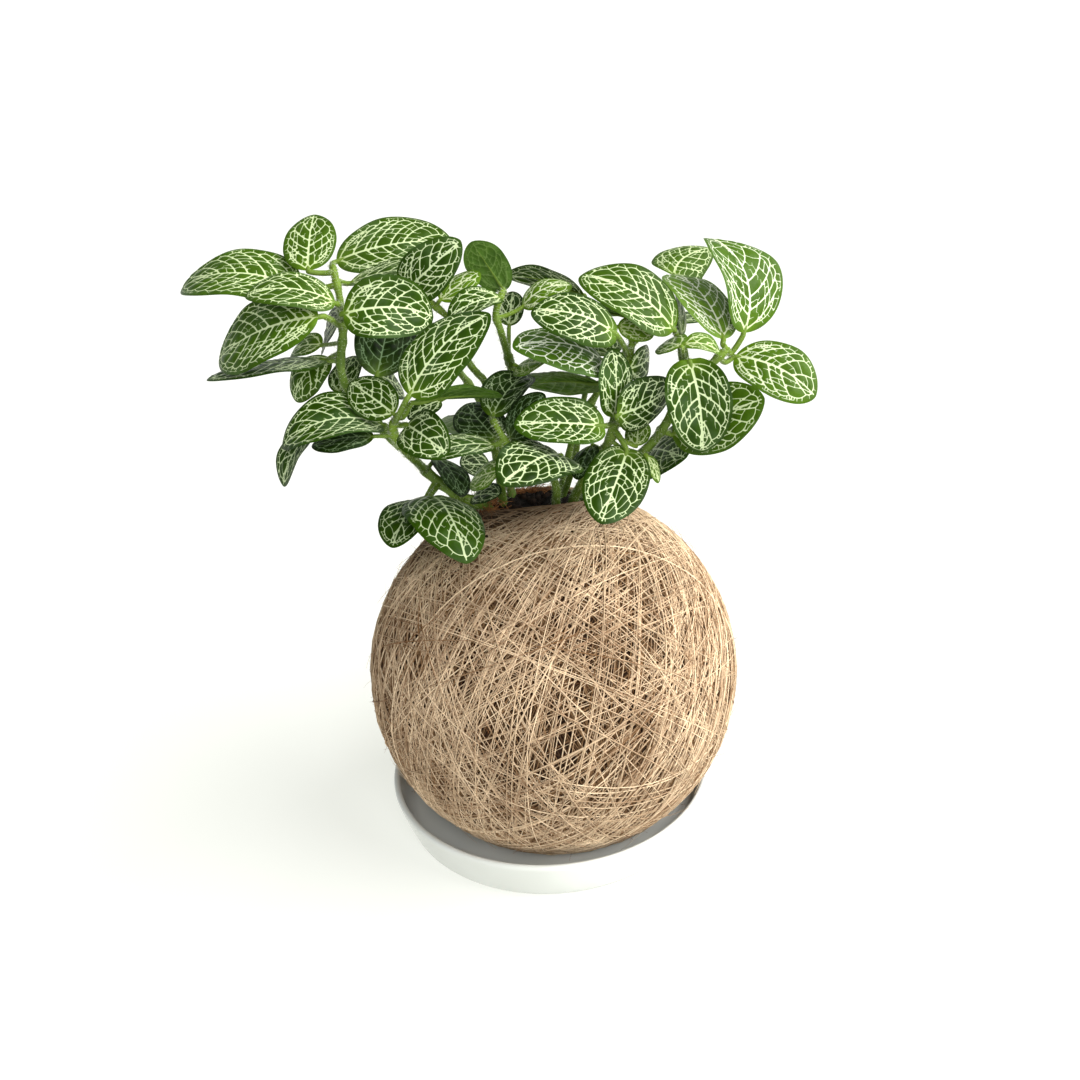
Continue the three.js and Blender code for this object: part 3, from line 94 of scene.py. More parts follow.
# leaves: piece, CAD node or "", stem, base, axis, normal, length, half width / length, arch, cup, widest point, sweep, lobe,
# petiole radius, petiole curve, foot on the stem, tone (-1 dark to 1 pale; from 1 to 2 painted light that brightens a
# leaf in shade), yellow (0 to 1), vein width
LEAVES = [
    ["blade_left_1", "leaf_left_1", "left_high", [-59.79, 4.38, 178.93], [-0.9837, 0.1798, 0.0103], [-0.0361, -0.2529, 0.9668], 37.73, 0.313, 1.408, 0.038, 0.371, 0.032, 0.0, 0.85, [[-59.79, 4.38, 178.93], [-58.82, 4.41, 178.13], [-52.71, 3.78, 179.28], [-51.48, 3.76, 179.51]], [-49.69, 3.73, 179.83], 0.3, 0.11, 1.0],
    ["young_blade_m1", "", "back_left", [-12.07, 20.83, 112.99], [-0.6961, -0.6148, 0.3708], [0.6775, -0.3915, 0.6227], 12.89, 0.365, 0.29, 0.082, 0.495, 0.0, 0.0, 0.65, [[-12.07, 20.83, 112.99], [-11.81, 21.12, 112.79], [-9.68, 20.83, 112.12], [-9.25, 20.93, 112.16]], [-7.58, 21.3, 112.3], -0.5, 0.0, 1.0],
    ["blade_left_2", "leaf_left_2", "left_high", [-57.09, 4.88, 184.14], [0.0486, 0.8993, 0.4346], [-0.0393, -0.4331, 0.9005], 22.43, 0.337, 0.373, -0.071, 0.464, 0.007, 0.0, 0.85, [[-57.09, 4.88, 184.14], [-57.12, 4.24, 183.66], [-52.66, 4.99, 182.95], [-51.87, 5.14, 182.95]], [-50.08, 5.47, 182.96], 0.2, 0.12, 1.0],
    ["young_blade_m2", "", "mid_top", [-2.99, 10.95, 161.64], [0.1668, 0.6987, 0.6957], [-0.0749, -0.6945, 0.7156], 11.09, 0.361, 0.66, 0.084, 0.487, 0.0, 0.0, 0.65, [[-2.99, 10.95, 161.64], [-3.15, 10.41, 160.54], [-3.48, 5.84, 156.89], [-3.58, 4.85, 156.17]], [-3.72, 3.46, 155.17], -0.5, 0.0, 1.0],
    ["blade_left_3", "leaf_left_3", "left_high", [-48.53, -11.59, 180.13], [-0.9804, -0.0887, 0.1759], [0.1922, -0.2362, 0.9525], 24.75, 0.337, 1.034, -0.01, 0.412, -0.022, 0.0, 0.85, [[-48.53, -11.59, 180.13], [-47.2, -11.25, 179.03], [-48.62, -2.51, 175.95], [-48.63, -0.97, 175.09]], [-48.63, 0.63, 174.21], 0.0, 0.11, 1.0],
    ["young_blade_m3", "", "left_high", [-52.4, 0.37, 149.13], [0.3038, 0.8363, 0.4565], [-0.2609, -0.3878, 0.8841], 14.04, 0.36, 0.481, 0.027, 0.465, 0.0, 0.0, 0.65, [[-52.4, 0.37, 149.13], [-52.68, -0.51, 148.33], [-49.3, -5.51, 151.25], [-48.87, -6.52, 151.81]], [-48.24, -8.01, 152.63], -0.5, 0.0, 1.0],
    ["blade_left_4", "leaf_left_4", "left_high", [-52.48, -18.48, 179.24], [-0.8928, 0.2059, -0.4006], [-0.45, -0.4461, 0.7736], 34.52, 0.325, 0.974, -0.02, 0.56, 0.011, 0.0, 0.85, [[-52.48, -18.48, 179.24], [-49.82, -18.41, 179.22], [-49.47, -5.76, 171.73], [-48.94, -3.5, 170.44]], [-48.57, -1.95, 169.57], 0.22, 0.08, 1.0],
    ["young_blade_m4", "", "back_left", [-25.76, 25.48, 133.76], [-0.8465, -0.4602, -0.2677], [-0.0897, -0.3725, 0.9237], 11.94, 0.372, 0.656, 0.071, 0.443, 0.0, 0.0, 0.65, [[-25.76, 25.48, 133.76], [-24.54, 26.29, 133.69], [-19.44, 30.72, 135.07], [-18.37, 31.67, 135.37]], [-17.12, 32.8, 135.72], -0.5, 0.0, 1.0],
    ["blade_left_5", "leaf_left_5", "left_high", [-51.8, 27.97, 178.8], [0.9905, 0.1313, 0.0408], [0.0131, -0.3854, 0.9226], 35.23, 0.333, 0.676, 0.039, 0.56, 0.002, 0.0, 0.85, [[-51.8, 27.97, 178.8], [-54.74, 27.98, 177.73], [-50.42, 10.35, 181.57], [-50.27, 7.62, 183.09]], [-50.19, 6.03, 183.98], 0.0, 0.09, 1.0],
    ["young_blade_m5", "", "left_high", [-40.11, 0.77, 153.18], [0.3214, 0.6981, -0.6398], [0.9025, -0.0212, 0.4301], 15.32, 0.323, 0.371, -0.1, 0.491, 0.0, 0.0, 0.65, [[-40.11, 0.77, 153.18], [-40.84, -0.26, 154.01], [-45.83, -5.57, 152.62], [-46.73, -6.76, 152.38]], [-47.81, -8.2, 152.09], -0.5, 0.0, 1.0],
    ["blade_middle_1", "leaf_middle_1", "mid_left", [-30.81, -0.11, 177.69], [0.7722, -0.0373, 0.6343], [-0.2891, -0.9096, 0.2985], 22.0, 0.327, 0.566, 0.064, 0.356, -0.008, 0.0, 0.85, [[-30.81, -0.11, 177.69], [-31.28, 0.1, 177.19], [-29.45, 3.46, 176.22], [-29.37, 4.15, 176.03]], [-29.17, 5.79, 175.57], 0.0, 0.0, 1.0],
    ["young_blade_m6", "", "left_low", [-17.13, -5.82, 116.31], [0.6906, -0.6393, 0.3381], [-0.5038, -0.0899, 0.8591], 12.4, 0.349, 0.338, 0.08, 0.475, 0.0, 0.0, 0.65, [[-17.13, -5.82, 116.31], [-17.49, -5.43, 116.03], [-20.07, -4.12, 116.13], [-20.59, -3.83, 116.12]], [-22.37, -2.86, 116.06], -0.5, 0.0, 1.0],
    ["blade_left_6", "leaf_left_6", "left_high", [-47.04, 11.91, 177.3], [0.9847, -0.125, 0.1214], [-0.1191, 0.026, 0.9925], 26.34, 0.335, 0.509, 0.051, 0.471, 0.0, 0.0, 0.85, [[-47.04, 11.91, 177.3], [-48.02, 12.03, 176.91], [-48.93, 6.77, 179.69], [-49.27, 5.88, 180.14]], [-49.85, 4.34, 180.92], 0.0, 0.06, 1.05],
    ["young_blade_m7", "", "left_high", [-50.16, 10.05, 168.7], [-0.4145, 0.5545, -0.7216], [-0.8986, -0.1239, 0.4209], 19.58, 0.337, 0.493, 0.04, 0.449, 0.0, 0.0, 0.65, [[-50.16, 10.05, 168.7], [-49.3, 9.35, 169.53], [-49.08, 3.39, 172.65], [-48.89, 2.2, 173.32]], [-48.63, 0.63, 174.21], -0.5, 0.0, 1.0],
    ["blade_left_7", "leaf_left_7", "left_high", [-46.71, -11.84, 176.92], [0.9498, 0.2451, -0.1945], [0.3048, -0.8647, 0.3991], 26.62, 0.32, 1.288, 0.266, 0.418, 0.069, 0.0, 0.85, [[-46.71, -11.84, 176.92], [-48.21, -11.33, 176.79], [-48.03, -3.61, 173.52], [-48.27, -2.24, 172.76]], [-48.53, -0.66, 171.89], 0.0, 0.0, 1.0],
    ["blade_left_8", "leaf_left_8", "left_high", [-40.43, -5.98, 156.09], [0.2217, 0.7778, 0.5881], [0.1785, -0.6252, 0.7597], 25.49, 0.333, 0.548, -0.027, 0.472, 0.003, 0.0, 0.85, [[-40.43, -5.98, 156.09], [-40.69, -6.58, 155.3], [-44.09, -8.19, 152.1], [-44.89, -8.5, 151.52]], [-46.28, -9.07, 150.5], -0.95, 0.0, 0.6],
    ["blade_left_9", "leaf_left_9", "left_low", [-29.87, -30.03, 159.83], [0.7241, 0.4449, 0.527], [-0.2813, -0.5072, 0.8147], 30.83, 0.328, 0.212, -0.091, 0.32, 0.091, 0.0, 0.85, [[-29.87, -30.03, 159.83], [-31.35, -30.87, 158.52], [-34.78, -24.23, 149.9], [-35.26, -22.31, 149.05]], [-35.72, -20.51, 148.25], -0.1, 0.0, 1.0],
    ["blade_middle_2", "leaf_middle_2", "mid_top", [-4.34, -1.33, 174.74], [-0.9032, -0.3839, -0.1921], [-0.075, -0.2995, 0.9512], 16.97, 0.337, 0.93, 0.221, 0.447, -0.003, 0.0, 0.65, [[-4.34, -1.33, 174.74], [-4.11, -1.19, 174.67], [-4.55, 0.09, 174.02], [-4.59, 0.34, 173.9]], [-4.8, 1.87, 173.15], 0.0, 0.0, 1.0],
    ["blade_left_10", "leaf_left_10", "left_high", [-54.7, -2.51, 160.39], [-0.8948, -0.4411, 0.0685], [-0.0237, 0.2001, 0.9795], 33.97, 0.335, 0.406, -0.099, 0.45, 0.001, 0.0, 0.85, [[-54.7, -2.51, 160.39], [-54.11, -2.25, 160.21], [-51.81, -4.88, 161.04], [-51.29, -5.27, 161.2]], [-49.88, -6.34, 161.64], -0.1, 0.0, 1.0],
    ["young_blade_13", "", "left_high", [-56.34, 6.95, 161.39], [-0.7563, 0.5528, -0.3498], [-0.5339, -0.2125, 0.8184], 13.65, 0.333, 0.756, 0.074, 0.461, -0.007, 0.0, 0.65, [[-56.34, 6.95, 161.39], [-54.72, 6.17, 161.43], [-51.07, -1.14, 164.67], [-50.14, -2.58, 165.24]], [-49.2, -4.03, 165.82], 0.0, 0.22, 1.0],
    ["young_blade_14", "", "left_high", [-54.26, 3.33, 158.79], [-0.6632, -0.3323, -0.6706], [-0.3845, -0.6176, 0.6862], 16.97, 0.36, 1.378, -0.246, 0.56, -0.065, 0.0, 0.65, [[-54.26, 3.33, 158.79], [-53.23, 4.21, 158.91], [-50.97, -2.73, 162.22], [-50.4, -3.84, 162.76]], [-49.64, -5.33, 163.47], 0.0, 0.11, 1.0],
    ["blade_left_11", "leaf_left_11", "left_low", [-35.3, -22.73, 151.59], [-0.6755, 0.684, 0.2753], [-0.2382, -0.5558, 0.7964], 18.3, 0.335, 0.478, -0.05, 0.45, 0.0, 0.0, 0.65, [[-35.3, -22.73, 151.59], [-35.13, -22.86, 151.48], [-35.26, -21.68, 150.78], [-35.24, -21.48, 150.67]], [-35.1, -19.74, 149.64], 0.0, 0.0, 1.0],
    ["blade_left_12", "leaf_left_12", "left_low", [-38.87, -17.86, 146.45], [-0.9774, -0.1974, -0.0763], [-0.0386, -0.1884, 0.9813], 30.87, 0.338, 1.431, 0.176, 0.449, -0.006, 0.0, 0.85, [[-38.87, -17.86, 146.45], [-38.69, -17.79, 146.31], [-37.9, -18.76, 146.08], [-37.73, -18.92, 146.01]], [-36.3, -20.23, 145.46], 0.0, 0.0, 1.0],
    ["blade_left_13", "leaf_left_13", "left_low", [-41.41, -22.69, 145.45], [-0.9954, -0.0527, -0.0799], [-0.0722, -0.1335, 0.9884], 17.36, 0.334, 0.464, -0.089, 0.56, 0.011, 0.0, 0.65, [[-41.41, -22.69, 145.45], [-40.85, -22.64, 145.37], [-38.52, -21.49, 144.65], [-38.02, -21.23, 144.63]], [-36.24, -20.28, 144.56], -0.8, 0.0, 0.75],
    ["young_blade_18", "", "left_high", [-59.52, -13.64, 143.79], [-0.5143, -0.438, -0.7373], [-0.6413, -0.3744, 0.6697], 17.51, 0.342, 0.842, 0.214, 0.447, -0.023, 0.0, 0.65, [[-59.52, -13.64, 143.79], [-58.04, -12.51, 144.6], [-50.82, -9.53, 150.09], [-49.23, -8.82, 151.14]], [-47.81, -8.2, 152.09], 0.0, 0.0, 1.0],
    ["blade_left_14", "leaf_left_14", "left_low", [-32.09, -24.12, 148.82], [0.5915, -0.7984, -0.1128], [-0.4608, -0.4495, 0.7652], 20.01, 0.33, 0.742, 0.186, 0.441, 0.005, 0.0, 0.85, [[-32.09, -24.12, 148.82], [-32.29, -23.64, 148.73], [-33.51, -21.6, 147.48], [-34.01, -21.42, 147.57]], [-35.87, -20.71, 147.9], -0.2, 0.0, 1.0],
    ["blade_left_15", "leaf_left_15", "left_low", [-30.99, -6.38, 116.68], [-0.3692, -0.9161, -0.1565], [-0.0902, -0.1323, 0.9871], 23.76, 0.333, 0.777, 0.035, 0.437, -0.026, 0.0, 0.85, [[-30.99, -6.38, 116.68], [-30.73, -5.76, 116.52], [-28.95, -4.12, 119.1], [-28.51, -3.76, 119.47]], [-27.19, -2.67, 120.56], 0.0, 0.0, 1.0],
    ["blade_left_16", "leaf_left_16", "left_low", [-28.82, -11.96, 120.38], [0.3279, -0.9224, -0.2043], [0.2585, -0.1204, 0.9585], 33.71, 0.328, 1.289, -0.303, 0.357, -0.017, 0.1, 0.85, [[-28.82, -11.96, 120.38], [-29.27, -11.08, 119.93], [-27.29, -5.98, 120.16], [-26.95, -4.95, 120.06]], [-26.3, -3.04, 119.88], 0.25, 0.0, 1.0],
    ["blade_left_17", "leaf_left_17", "left_low", [-30.06, -19.87, 153.53], [0.9389, 0.3071, -0.1556], [-0.0444, 0.5562, 0.8298], 25.92, 0.335, 0.424, 0.098, 0.435, 0.011, 0.0, 0.85, [[-30.06, -19.87, 153.53], [-30.78, -20.2, 153.51], [-32.78, -21.32, 149.59], [-33.43, -20.88, 149.6]], [-35.1, -19.74, 149.64], 0.2, 0.0, 1.0],
    ["blade_front_1", "leaf_front_1", "front", [-9.35, -11.62, 143.78], [0.5353, 0.8002, 0.2704], [-0.0707, -0.2766, 0.9584], 20.51, 0.333, 0.941, 0.306, 0.488, -0.003, 0.0, 0.85, [[-9.35, -11.62, 143.78], [-9.71, -12.09, 143.24], [-8.58, -16.12, 144.04], [-8.61, -16.82, 144.41]], [-8.68, -18.34, 145.2], -0.7, 0.0, 0.7],
    ["young_blade_24b", "", "front", [-8.32, -16.98, 139.3], [-0.3966, 0.9083, 0.1329], [-0.0817, -0.1791, 0.9804], 21.51, 0.334, 0.304, -0.096, 0.495, 0.035, 0.0, 0.85, [[-8.32, -16.98, 139.3], [-8.09, -17.47, 139.15], [-6.03, -19.13, 138.87], [-5.63, -19.52, 138.81]], [-4.42, -20.72, 138.61], -0.8, 0.0, 0.7],
    ["blade_front_2", "leaf_front_2", "front", [-8.88, -21.76, 139.79], [-0.9382, -0.3429, 0.0475], [0.0662, -0.0428, 0.9969], 20.55, 0.336, 0.69, 0.058, 0.494, -0.006, 0.0, 0.85, [[-8.88, -21.76, 139.79], [-8.71, -21.69, 139.71], [-7.85, -21.43, 140.11], [-7.68, -21.36, 140.18]], [-6.19, -20.77, 140.81], 0.0, 0.0, 1.1],
    ["blade_left_18", "leaf_left_18", "left_low", [-26.75, 5.14, 124.21], [0.3876, -0.8541, -0.3468], [0.5321, -0.0999, 0.8408], 17.52, 0.331, 0.663, 0.05, 0.463, 0.011, 0.0, 0.65, [[-26.75, 5.14, 124.21], [-27.2, 5.83, 124.25], [-29.05, 1.05, 124.09], [-29.31, 0.32, 123.82]], [-29.95, -1.47, 123.15], -0.9, 0.0, 0.7],
    ["blade_middle_3", "leaf_middle_3", "mid_top", [-3.44, 9.43, 172.75], [-0.4466, -0.1584, 0.8806], [0.0522, 0.9779, 0.2023], 18.15, 0.325, 0.498, -0.045, 0.545, -0.016, 0.0, 0.65, [[-3.44, 9.43, 172.75], [-3.12, 9.36, 172.04], [-3.79, 5.24, 174.06], [-3.79, 4.56, 174.44]], [-3.78, 3.05, 175.27], 0.4, 0.0, 1.0],
    ["blade_back_middle_1", "leaf_back_middle_1", "centre_back", [18.97, 10.94, 169.26], [-0.9209, 0.3416, 0.188], [0.3738, 0.6361, 0.6751], 24.42, 0.336, 0.628, -0.003, 0.431, 0.002, 0.0, 0.85, [[18.97, 10.94, 169.26], [19.22, 10.76, 169.13], [18.72, 9.91, 167.39], [19.6, 9.9, 167.42]], [21.02, 9.9, 167.47], 0.3, 0.0, 1.0],
    ["blade_middle_4", "leaf_middle_4", "mid_top", [1.33, 0.88, 170.79], [0.9457, 0.1399, 0.2935], [-0.2322, -0.3415, 0.9108], 15.91, 0.343, 1.25, -0.184, 0.455, 0.03, 0.0, 0.65, [[1.33, 0.88, 170.79], [0.74, 0.96, 170.07], [-3.46, -0.36, 168.93], [-4.37, -0.46, 168.81]], [-6.07, -0.65, 168.6], 0.8, 0.38, 1.0],
    ["blade_centre_1", "leaf_centre_1", "centre", [24.8, -16.76, 168.57], [-0.9555, 0.0508, 0.2905], [0.2205, -0.5313, 0.818], 23.1, 0.352, 0.881, -0.171, 0.412, -0.041, 0.1, 0.85, [[24.8, -16.76, 168.57], [26.6, -16.33, 167.14], [28.83, -7.65, 159.73], [29.36, -6.48, 157.78]], [29.8, -5.51, 156.18], -0.1, 0.0, 1.0],
    # tone 1.2: painted light on a leaf that sits in shade
    ["blade_centre_2", "leaf_centre_2", "centre", [22.71, -6.62, 156.15], [-0.8445, -0.4042, 0.3514], [0.4449, -0.1643, 0.8804], 30.24, 0.339, 0.879, -0.246, 0.353, -0.024, 0.0, 0.85, [[22.71, -6.62, 156.15], [23.1, -6.32, 155.67], [26.24, -7.08, 154.51], [26.89, -7.14, 154.27]], [28.68, -7.3, 153.59], 1.2, 0.0, 1.0],
    ["blade_right_1", "leaf_right_1", "right", [42.17, -9.04, 164.63], [-0.8251, 0.3378, 0.4528], [0.2745, -0.4608, 0.844], 30.96, 0.333, 0.871, 0.023, 0.412, -0.06, 0.0, 0.85, [[42.17, -9.04, 164.63], [42.84, -9.16, 163.82], [41.82, -4.47, 165.26], [43.87, -3.99, 160.03]], [44.57, -3.82, 158.25], 0.15, 0.08, 1.0],
    ["blade_right_2", "leaf_right_2", "right", [45.44, 20.87, 169.68], [0.5168, 0.8561, -0.0021], [0.302, -0.18, 0.9362], 26.43, 0.3, -0.002, -0.3, 0.32, 0.105, 0.0, 0.85, [[45.44, 20.87, 169.68], [45.2, 20.48, 169.68], [47.78, 19.24, 166.52], [45.56, 18.75, 167.46]], [43.83, 18.37, 168.19], 0.2, 0.15, 1.0],
    # tone 2.0: painted light on a leaf that sits in shade
    ["blade_right_3", "leaf_right_3", "right_far", [56.34, -5.11, 159.58], [-0.4295, 0.8133, 0.3924], [0.4204, -0.2045, 0.884], 30.58, 0.323, 1.168, -0.037, 0.505, 0.016, 0.0, 0.85, [[56.34, -5.11, 159.58], [56.37, -5.24, 159.39], [55.9, -5.68, 158.35], [56.03, -5.75, 158.16]], [57.11, -6.33, 156.68], 2.0, 0.41, 1.0],
    ["blade_right_4", "leaf_right_4", "right_far", [62.38, -2.71, 159.99], [-0.2173, 0.676, 0.7041], [0.6006, -0.476, 0.6424], 32.89, 0.378, 1.475, 0.179, 0.56, -0.056, 0.0, 0.85, [[62.38, -2.71, 159.99], [62.12, -2.91, 158.96], [58.36, -3.52, 153.0], [57.61, -5.21, 155.21]], [57.11, -6.33, 156.68], 0.85, 0.15, 1.0],
    ["blade_right_5", "leaf_right_5", "right_far", [59.8, -3.57, 153.53], [0.8297, -0.4098, -0.3789], [0.043, -0.63, 0.7754], 25.87, 0.337, 0.829, -0.062, 0.555, 0.052, 0.0, 0.85, [[59.8, -3.57, 153.53], [59.23, -3.11, 153.56], [56.92, -4.2, 150.69], [55.6, -6.11, 153.87]], [54.96, -7.04, 155.42], 0.7, 0.19, 1.1],
    ["young_blade_37", "", "right", [43.16, -17.48, 163.31], [-0.3138, 0.8973, -0.3103], [-0.4964, 0.1236, 0.8593], 13.66, 0.335, 0.458, -0.069, 0.449, 0.001, 0.0, 0.65, [[43.16, -17.48, 163.31], [43.76, -18.79, 163.46], [43.47, -16.32, 161.63], [44.56, -9.86, 157.45]], [44.83, -8.27, 156.42], 0.6, 0.34, 1.0],
    ["young_blade_38", "", "right", [44.6, -11.68, 161.31], [0.9449, 0.0134, -0.3271], [0.3155, -0.3042, 0.8988], 11.2, 0.343, 1.191, 0.241, 0.476, 0.025, 0.0, 0.65, [[44.6, -11.68, 161.31], [44.03, -11.59, 161.17], [44.66, -8.74, 159.53], [44.68, -8.41, 159.03]], [44.76, -7.37, 157.42], 0.6, 0.45, 1.0],
    ["blade_right_6", "leaf_right_6", "right", [45.53, -17.69, 158.38], [0.0867, -0.3354, -0.9381], [-0.0844, -0.9407, 0.3286], 25.62, 0.347, 0.956, 0.166, 0.402, 0.038, 0.06, 0.85, [[45.53, -17.69, 158.38], [45.49, -16.89, 159.13], [45.09, -11.89, 156.09], [45.01, -10.93, 155.56]], [44.86, -9.25, 154.64], 0.0, 0.0, 1.1],
    ["blade_right_7", "leaf_right_7", "right", [40.53, -14.58, 135.99], [0.8258, -0.3372, 0.4521], [-0.5621, -0.5588, 0.6098], 29.59, 0.335, 0.434, -0.162, 0.498, -0.012, 0.0, 0.85, [[40.53, -14.58, 135.99], [40.4, -14.49, 135.88], [39.49, -14.43, 136.32], [39.3, -14.41, 136.39]], [37.51, -14.22, 137.04], 0.32, 0.11, 1.0],
    ["blade_right_8", "leaf_right_8", "right", [34.37, 12.52, 118.5], [0.2504, -0.9031, 0.349], [-0.6579, 0.1058, 0.7457], 37.57, 0.302, 0.42, -0.078, 0.456, -0.001, 0.0, 0.85, [[34.37, 12.52, 118.5], [34.14, 14.31, 117.47], [24.97, 6.58, 114.31], [23.63, 5.01, 114.11]], [22.38, 3.56, 113.93], 0.0, 0.0, 1.0],
    ["blade_centre_3", "leaf_centre_3", "centre", [24.36, -16.51, 143.45], [0.0169, 0.204, 0.9788], [0.6444, -0.7508, 0.1453], 19.4, 0.338, 0.546, -0.025, 0.486, -0.007, 0.0, 0.65, [[24.36, -16.51, 143.45], [24.32, -16.5, 143.23], [24.68, -15.28, 143.57], [24.71, -15.09, 143.46]], [24.99, -13.46, 142.48], 0.0, 0.0, 1.0],
    ["blade_centre_4", "leaf_centre_4", "centre", [25.06, -20.98, 145.88], [0.7383, 0.673, 0.0456], [0.6703, -0.7395, 0.0625], 23.17, 0.321, 0.521, -0.233, 0.32, -0.015, 0.0, 0.85, [[25.06, -20.98, 145.88], [23.99, -21.54, 145.81], [27.07, -15.83, 140.25], [26.11, -15.11, 140.44]], [24.6, -13.97, 140.73], -0.5, 0.0, 1.0],
    ["young_blade_44", "", "centre", [30.57, -15.1, 133.36], [0.1688, 0.9538, 0.2484], [-0.1122, -0.2318, 0.9663], 11.19, 0.335, 0.517, -0.036, 0.45, 0.005, 0.0, 0.65, [[30.57, -15.1, 133.36], [30.45, -15.86, 132.93], [26.27, -13.35, 135.22], [25.5, -13.04, 135.54]], [23.85, -12.35, 136.23], 0.0, 0.34, 1.0],
    ["blade_centre_5", "leaf_centre_5", "centre", [20.05, -22.96, 143.97], [-0.9825, -0.1273, 0.1357], [0.1813, -0.4909, 0.8522], 23.83, 0.338, 0.394, 0.189, 0.394, -0.003, 0.08, 0.85, [[20.05, -22.96, 143.97], [21.26, -22.67, 143.57], [23.02, -16.78, 140.95], [23.66, -15.64, 140.87]], [24.6, -13.97, 140.73], 0.1, 0.0, 1.0],
    ["blade_front_3", "leaf_front_3", "front", [8.77, -24.73, 136.84], [-0.5298, -0.8345, 0.1513], [0.3294, -0.038, 0.9434], 30.81, 0.327, 0.864, -0.008, 0.344, 0.011, 0.15, 0.85, [[8.77, -24.73, 136.84], [9.4, -23.3, 135.85], [9.85, -21.61, 133.53], [2.3, -15.51, 131.84]], [0.98, -14.44, 131.55], -0.5, 0.0, 1.15],
    ["blade_centre_6", "leaf_centre_6", "centre", [27.43, -19.27, 133.75], [-0.3483, -0.8596, -0.3738], [0.0864, -0.4265, 0.9003], 26.53, 0.333, 0.435, -0.001, 0.477, 0.008, 0.1, 0.85, [[27.43, -19.27, 133.75], [27.74, -18.38, 133.91], [25.49, -15.72, 137.41], [25.08, -14.94, 137.78]], [24.26, -13.37, 138.52], -0.3, 0.0, 1.0],
    ["young_blade_48", "", "centre", [33.14, -19.78, 132.28], [0.3221, -0.1732, -0.9307], [0.7464, -0.5583, 0.3622], 8.57, 0.302, 0.5, -0.05, 0.45, 0.0, 0.0, 0.65, [[33.14, -19.78, 132.28], [32.27, -19.24, 133.71], [31.59, -15.66, 127.96], [24.72, -11.7, 132.91]], [23.31, -10.89, 133.93], 0.0, 0.38, 1.0],
    ["young_blade_50", "", "centre", [18.39, -5.39, 130.0], [-0.3793, -0.8141, -0.4397], [-0.4732, -0.2378, 0.8483], 12.95, 0.335, 0.5, -0.05, 0.45, 0.0, 0.0, 0.65, [[18.39, -5.39, 130.0], [18.51, -5.17, 130.06], [19.69, -5.51, 129.35], [19.9, -5.52, 129.21]], [21.49, -5.65, 128.13], -0.85, 0.0, 0.6],
    ["blade_centre_7", "leaf_centre_7", "centre", [21.52, -1.7, 147.66], [-0.7824, 0.5796, -0.2279], [0.259, 0.6356, 0.7272], 27.31, 0.334, 0.294, -0.125, 0.56, 0.028, 0.0, 0.85, [[21.52, -1.7, 147.66], [22.39, -2.48, 147.8], [25.32, -7.02, 149.01], [26.0, -7.94, 149.28]], [27.12, -9.44, 149.73], -0.5, 0.0, 0.7],
    ["young_blade_52", "", "centre", [29.47, -10.02, 154.7], [0.4625, 0.8818, -0.0926], [0.8862, -0.463, 0.0171], 14.85, 0.341, 0.784, 0.001, 0.412, -0.012, 0.0, 0.65, [[29.47, -10.02, 154.7], [29.34, -10.13, 154.72], [29.23, -9.15, 154.38], [29.19, -9.0, 154.32]], [28.68, -7.3, 153.59], 0.0, 0.0, 1.0],
    ["young_blade_53", "", "front", [-4.98, -16.86, 139.05], [0.64, -0.0286, 0.7679], [-0.5899, -0.6587, 0.467], 17.04, 0.332, 0.511, -0.049, 0.438, -0.004, 0.0, 0.65, [[-4.98, -16.86, 139.05], [-5.1, -16.81, 138.83], [-4.27, -17.8, 138.22], [-4.16, -18.0, 138.1]], [-3.42, -19.3, 137.25], -0.9, 0.0, 0.65],
    ["young_blade_54", "", "front", [-7.98, -23.76, 133.1], [-0.6436, 0.5461, -0.5363], [-0.7161, -0.1823, 0.6738], 14.09, 0.335, 0.466, -0.066, 0.449, 0.001, 0.0, 0.65, [[-7.98, -23.76, 133.1], [-7.32, -24.16, 133.41], [-5.69, -21.81, 136.69], [-5.28, -21.46, 137.31]], [-4.42, -20.72, 138.61], 0.6, 0.52, 1.0],
    ["young_blade_55", "", "mid_left", [-21.32, 1.19, 174.3], [0.8228, 0.4297, 0.3719], [-0.1783, -0.4261, 0.8869], 14.05, 0.335, 0.4, -0.097, 0.448, -0.006, 0.0, 0.65, [[-21.32, 1.19, 174.3], [-21.58, 1.08, 174.12], [-22.04, 2.36, 173.06], [-22.15, 2.56, 172.82]], [-22.72, 3.61, 171.59], 0.8, 0.45, 1.0],
    ["young_blade_56", "", "mid_top", [-1.47, 3.85, 152.03], [0.5441, -0.7614, 0.3525], [-0.5046, 0.0387, 0.8625], 15.14, 0.336, 0.266, -0.164, 0.458, -0.005, 0.0, 0.65, [[-1.47, 3.85, 152.03], [-1.53, 3.95, 151.97], [-2.03, 4.39, 152.15], [-2.14, 4.47, 152.2]], [-3.45, 5.37, 152.84], 0.6, 0.56, 1.0],
    ["young_blade_57", "", "right", [45.27, 1.94, 158.82], [-0.0558, 0.666, 0.7439], [0.943, -0.2097, 0.2586], 14.63, 0.336, 0.585, 0.041, 0.448, -0.005, 0.0, 0.65, [[45.27, 1.94, 158.82], [43.71, -2.19, 153.19], [45.39, -0.09, 150.36], [44.97, -7.23, 154.32]], [44.88, -8.91, 155.25], 0.4, 0.3, 1.0],
    ["young_blade_58", "", "centre", [27.24, -4.35, 165.2], [0.9183, 0.1471, -0.3676], [0.3707, -0.6459, 0.6674], 11.02, 0.335, 0.5, -0.05, 0.45, 0.0, 0.0, 0.65, [[27.24, -4.35, 165.2], [26.79, -4.34, 165.29], [28.75, -2.83, 163.73], [28.98, -2.46, 163.61]], [29.94, -0.89, 163.09], 0.6, 0.6, 1.0],
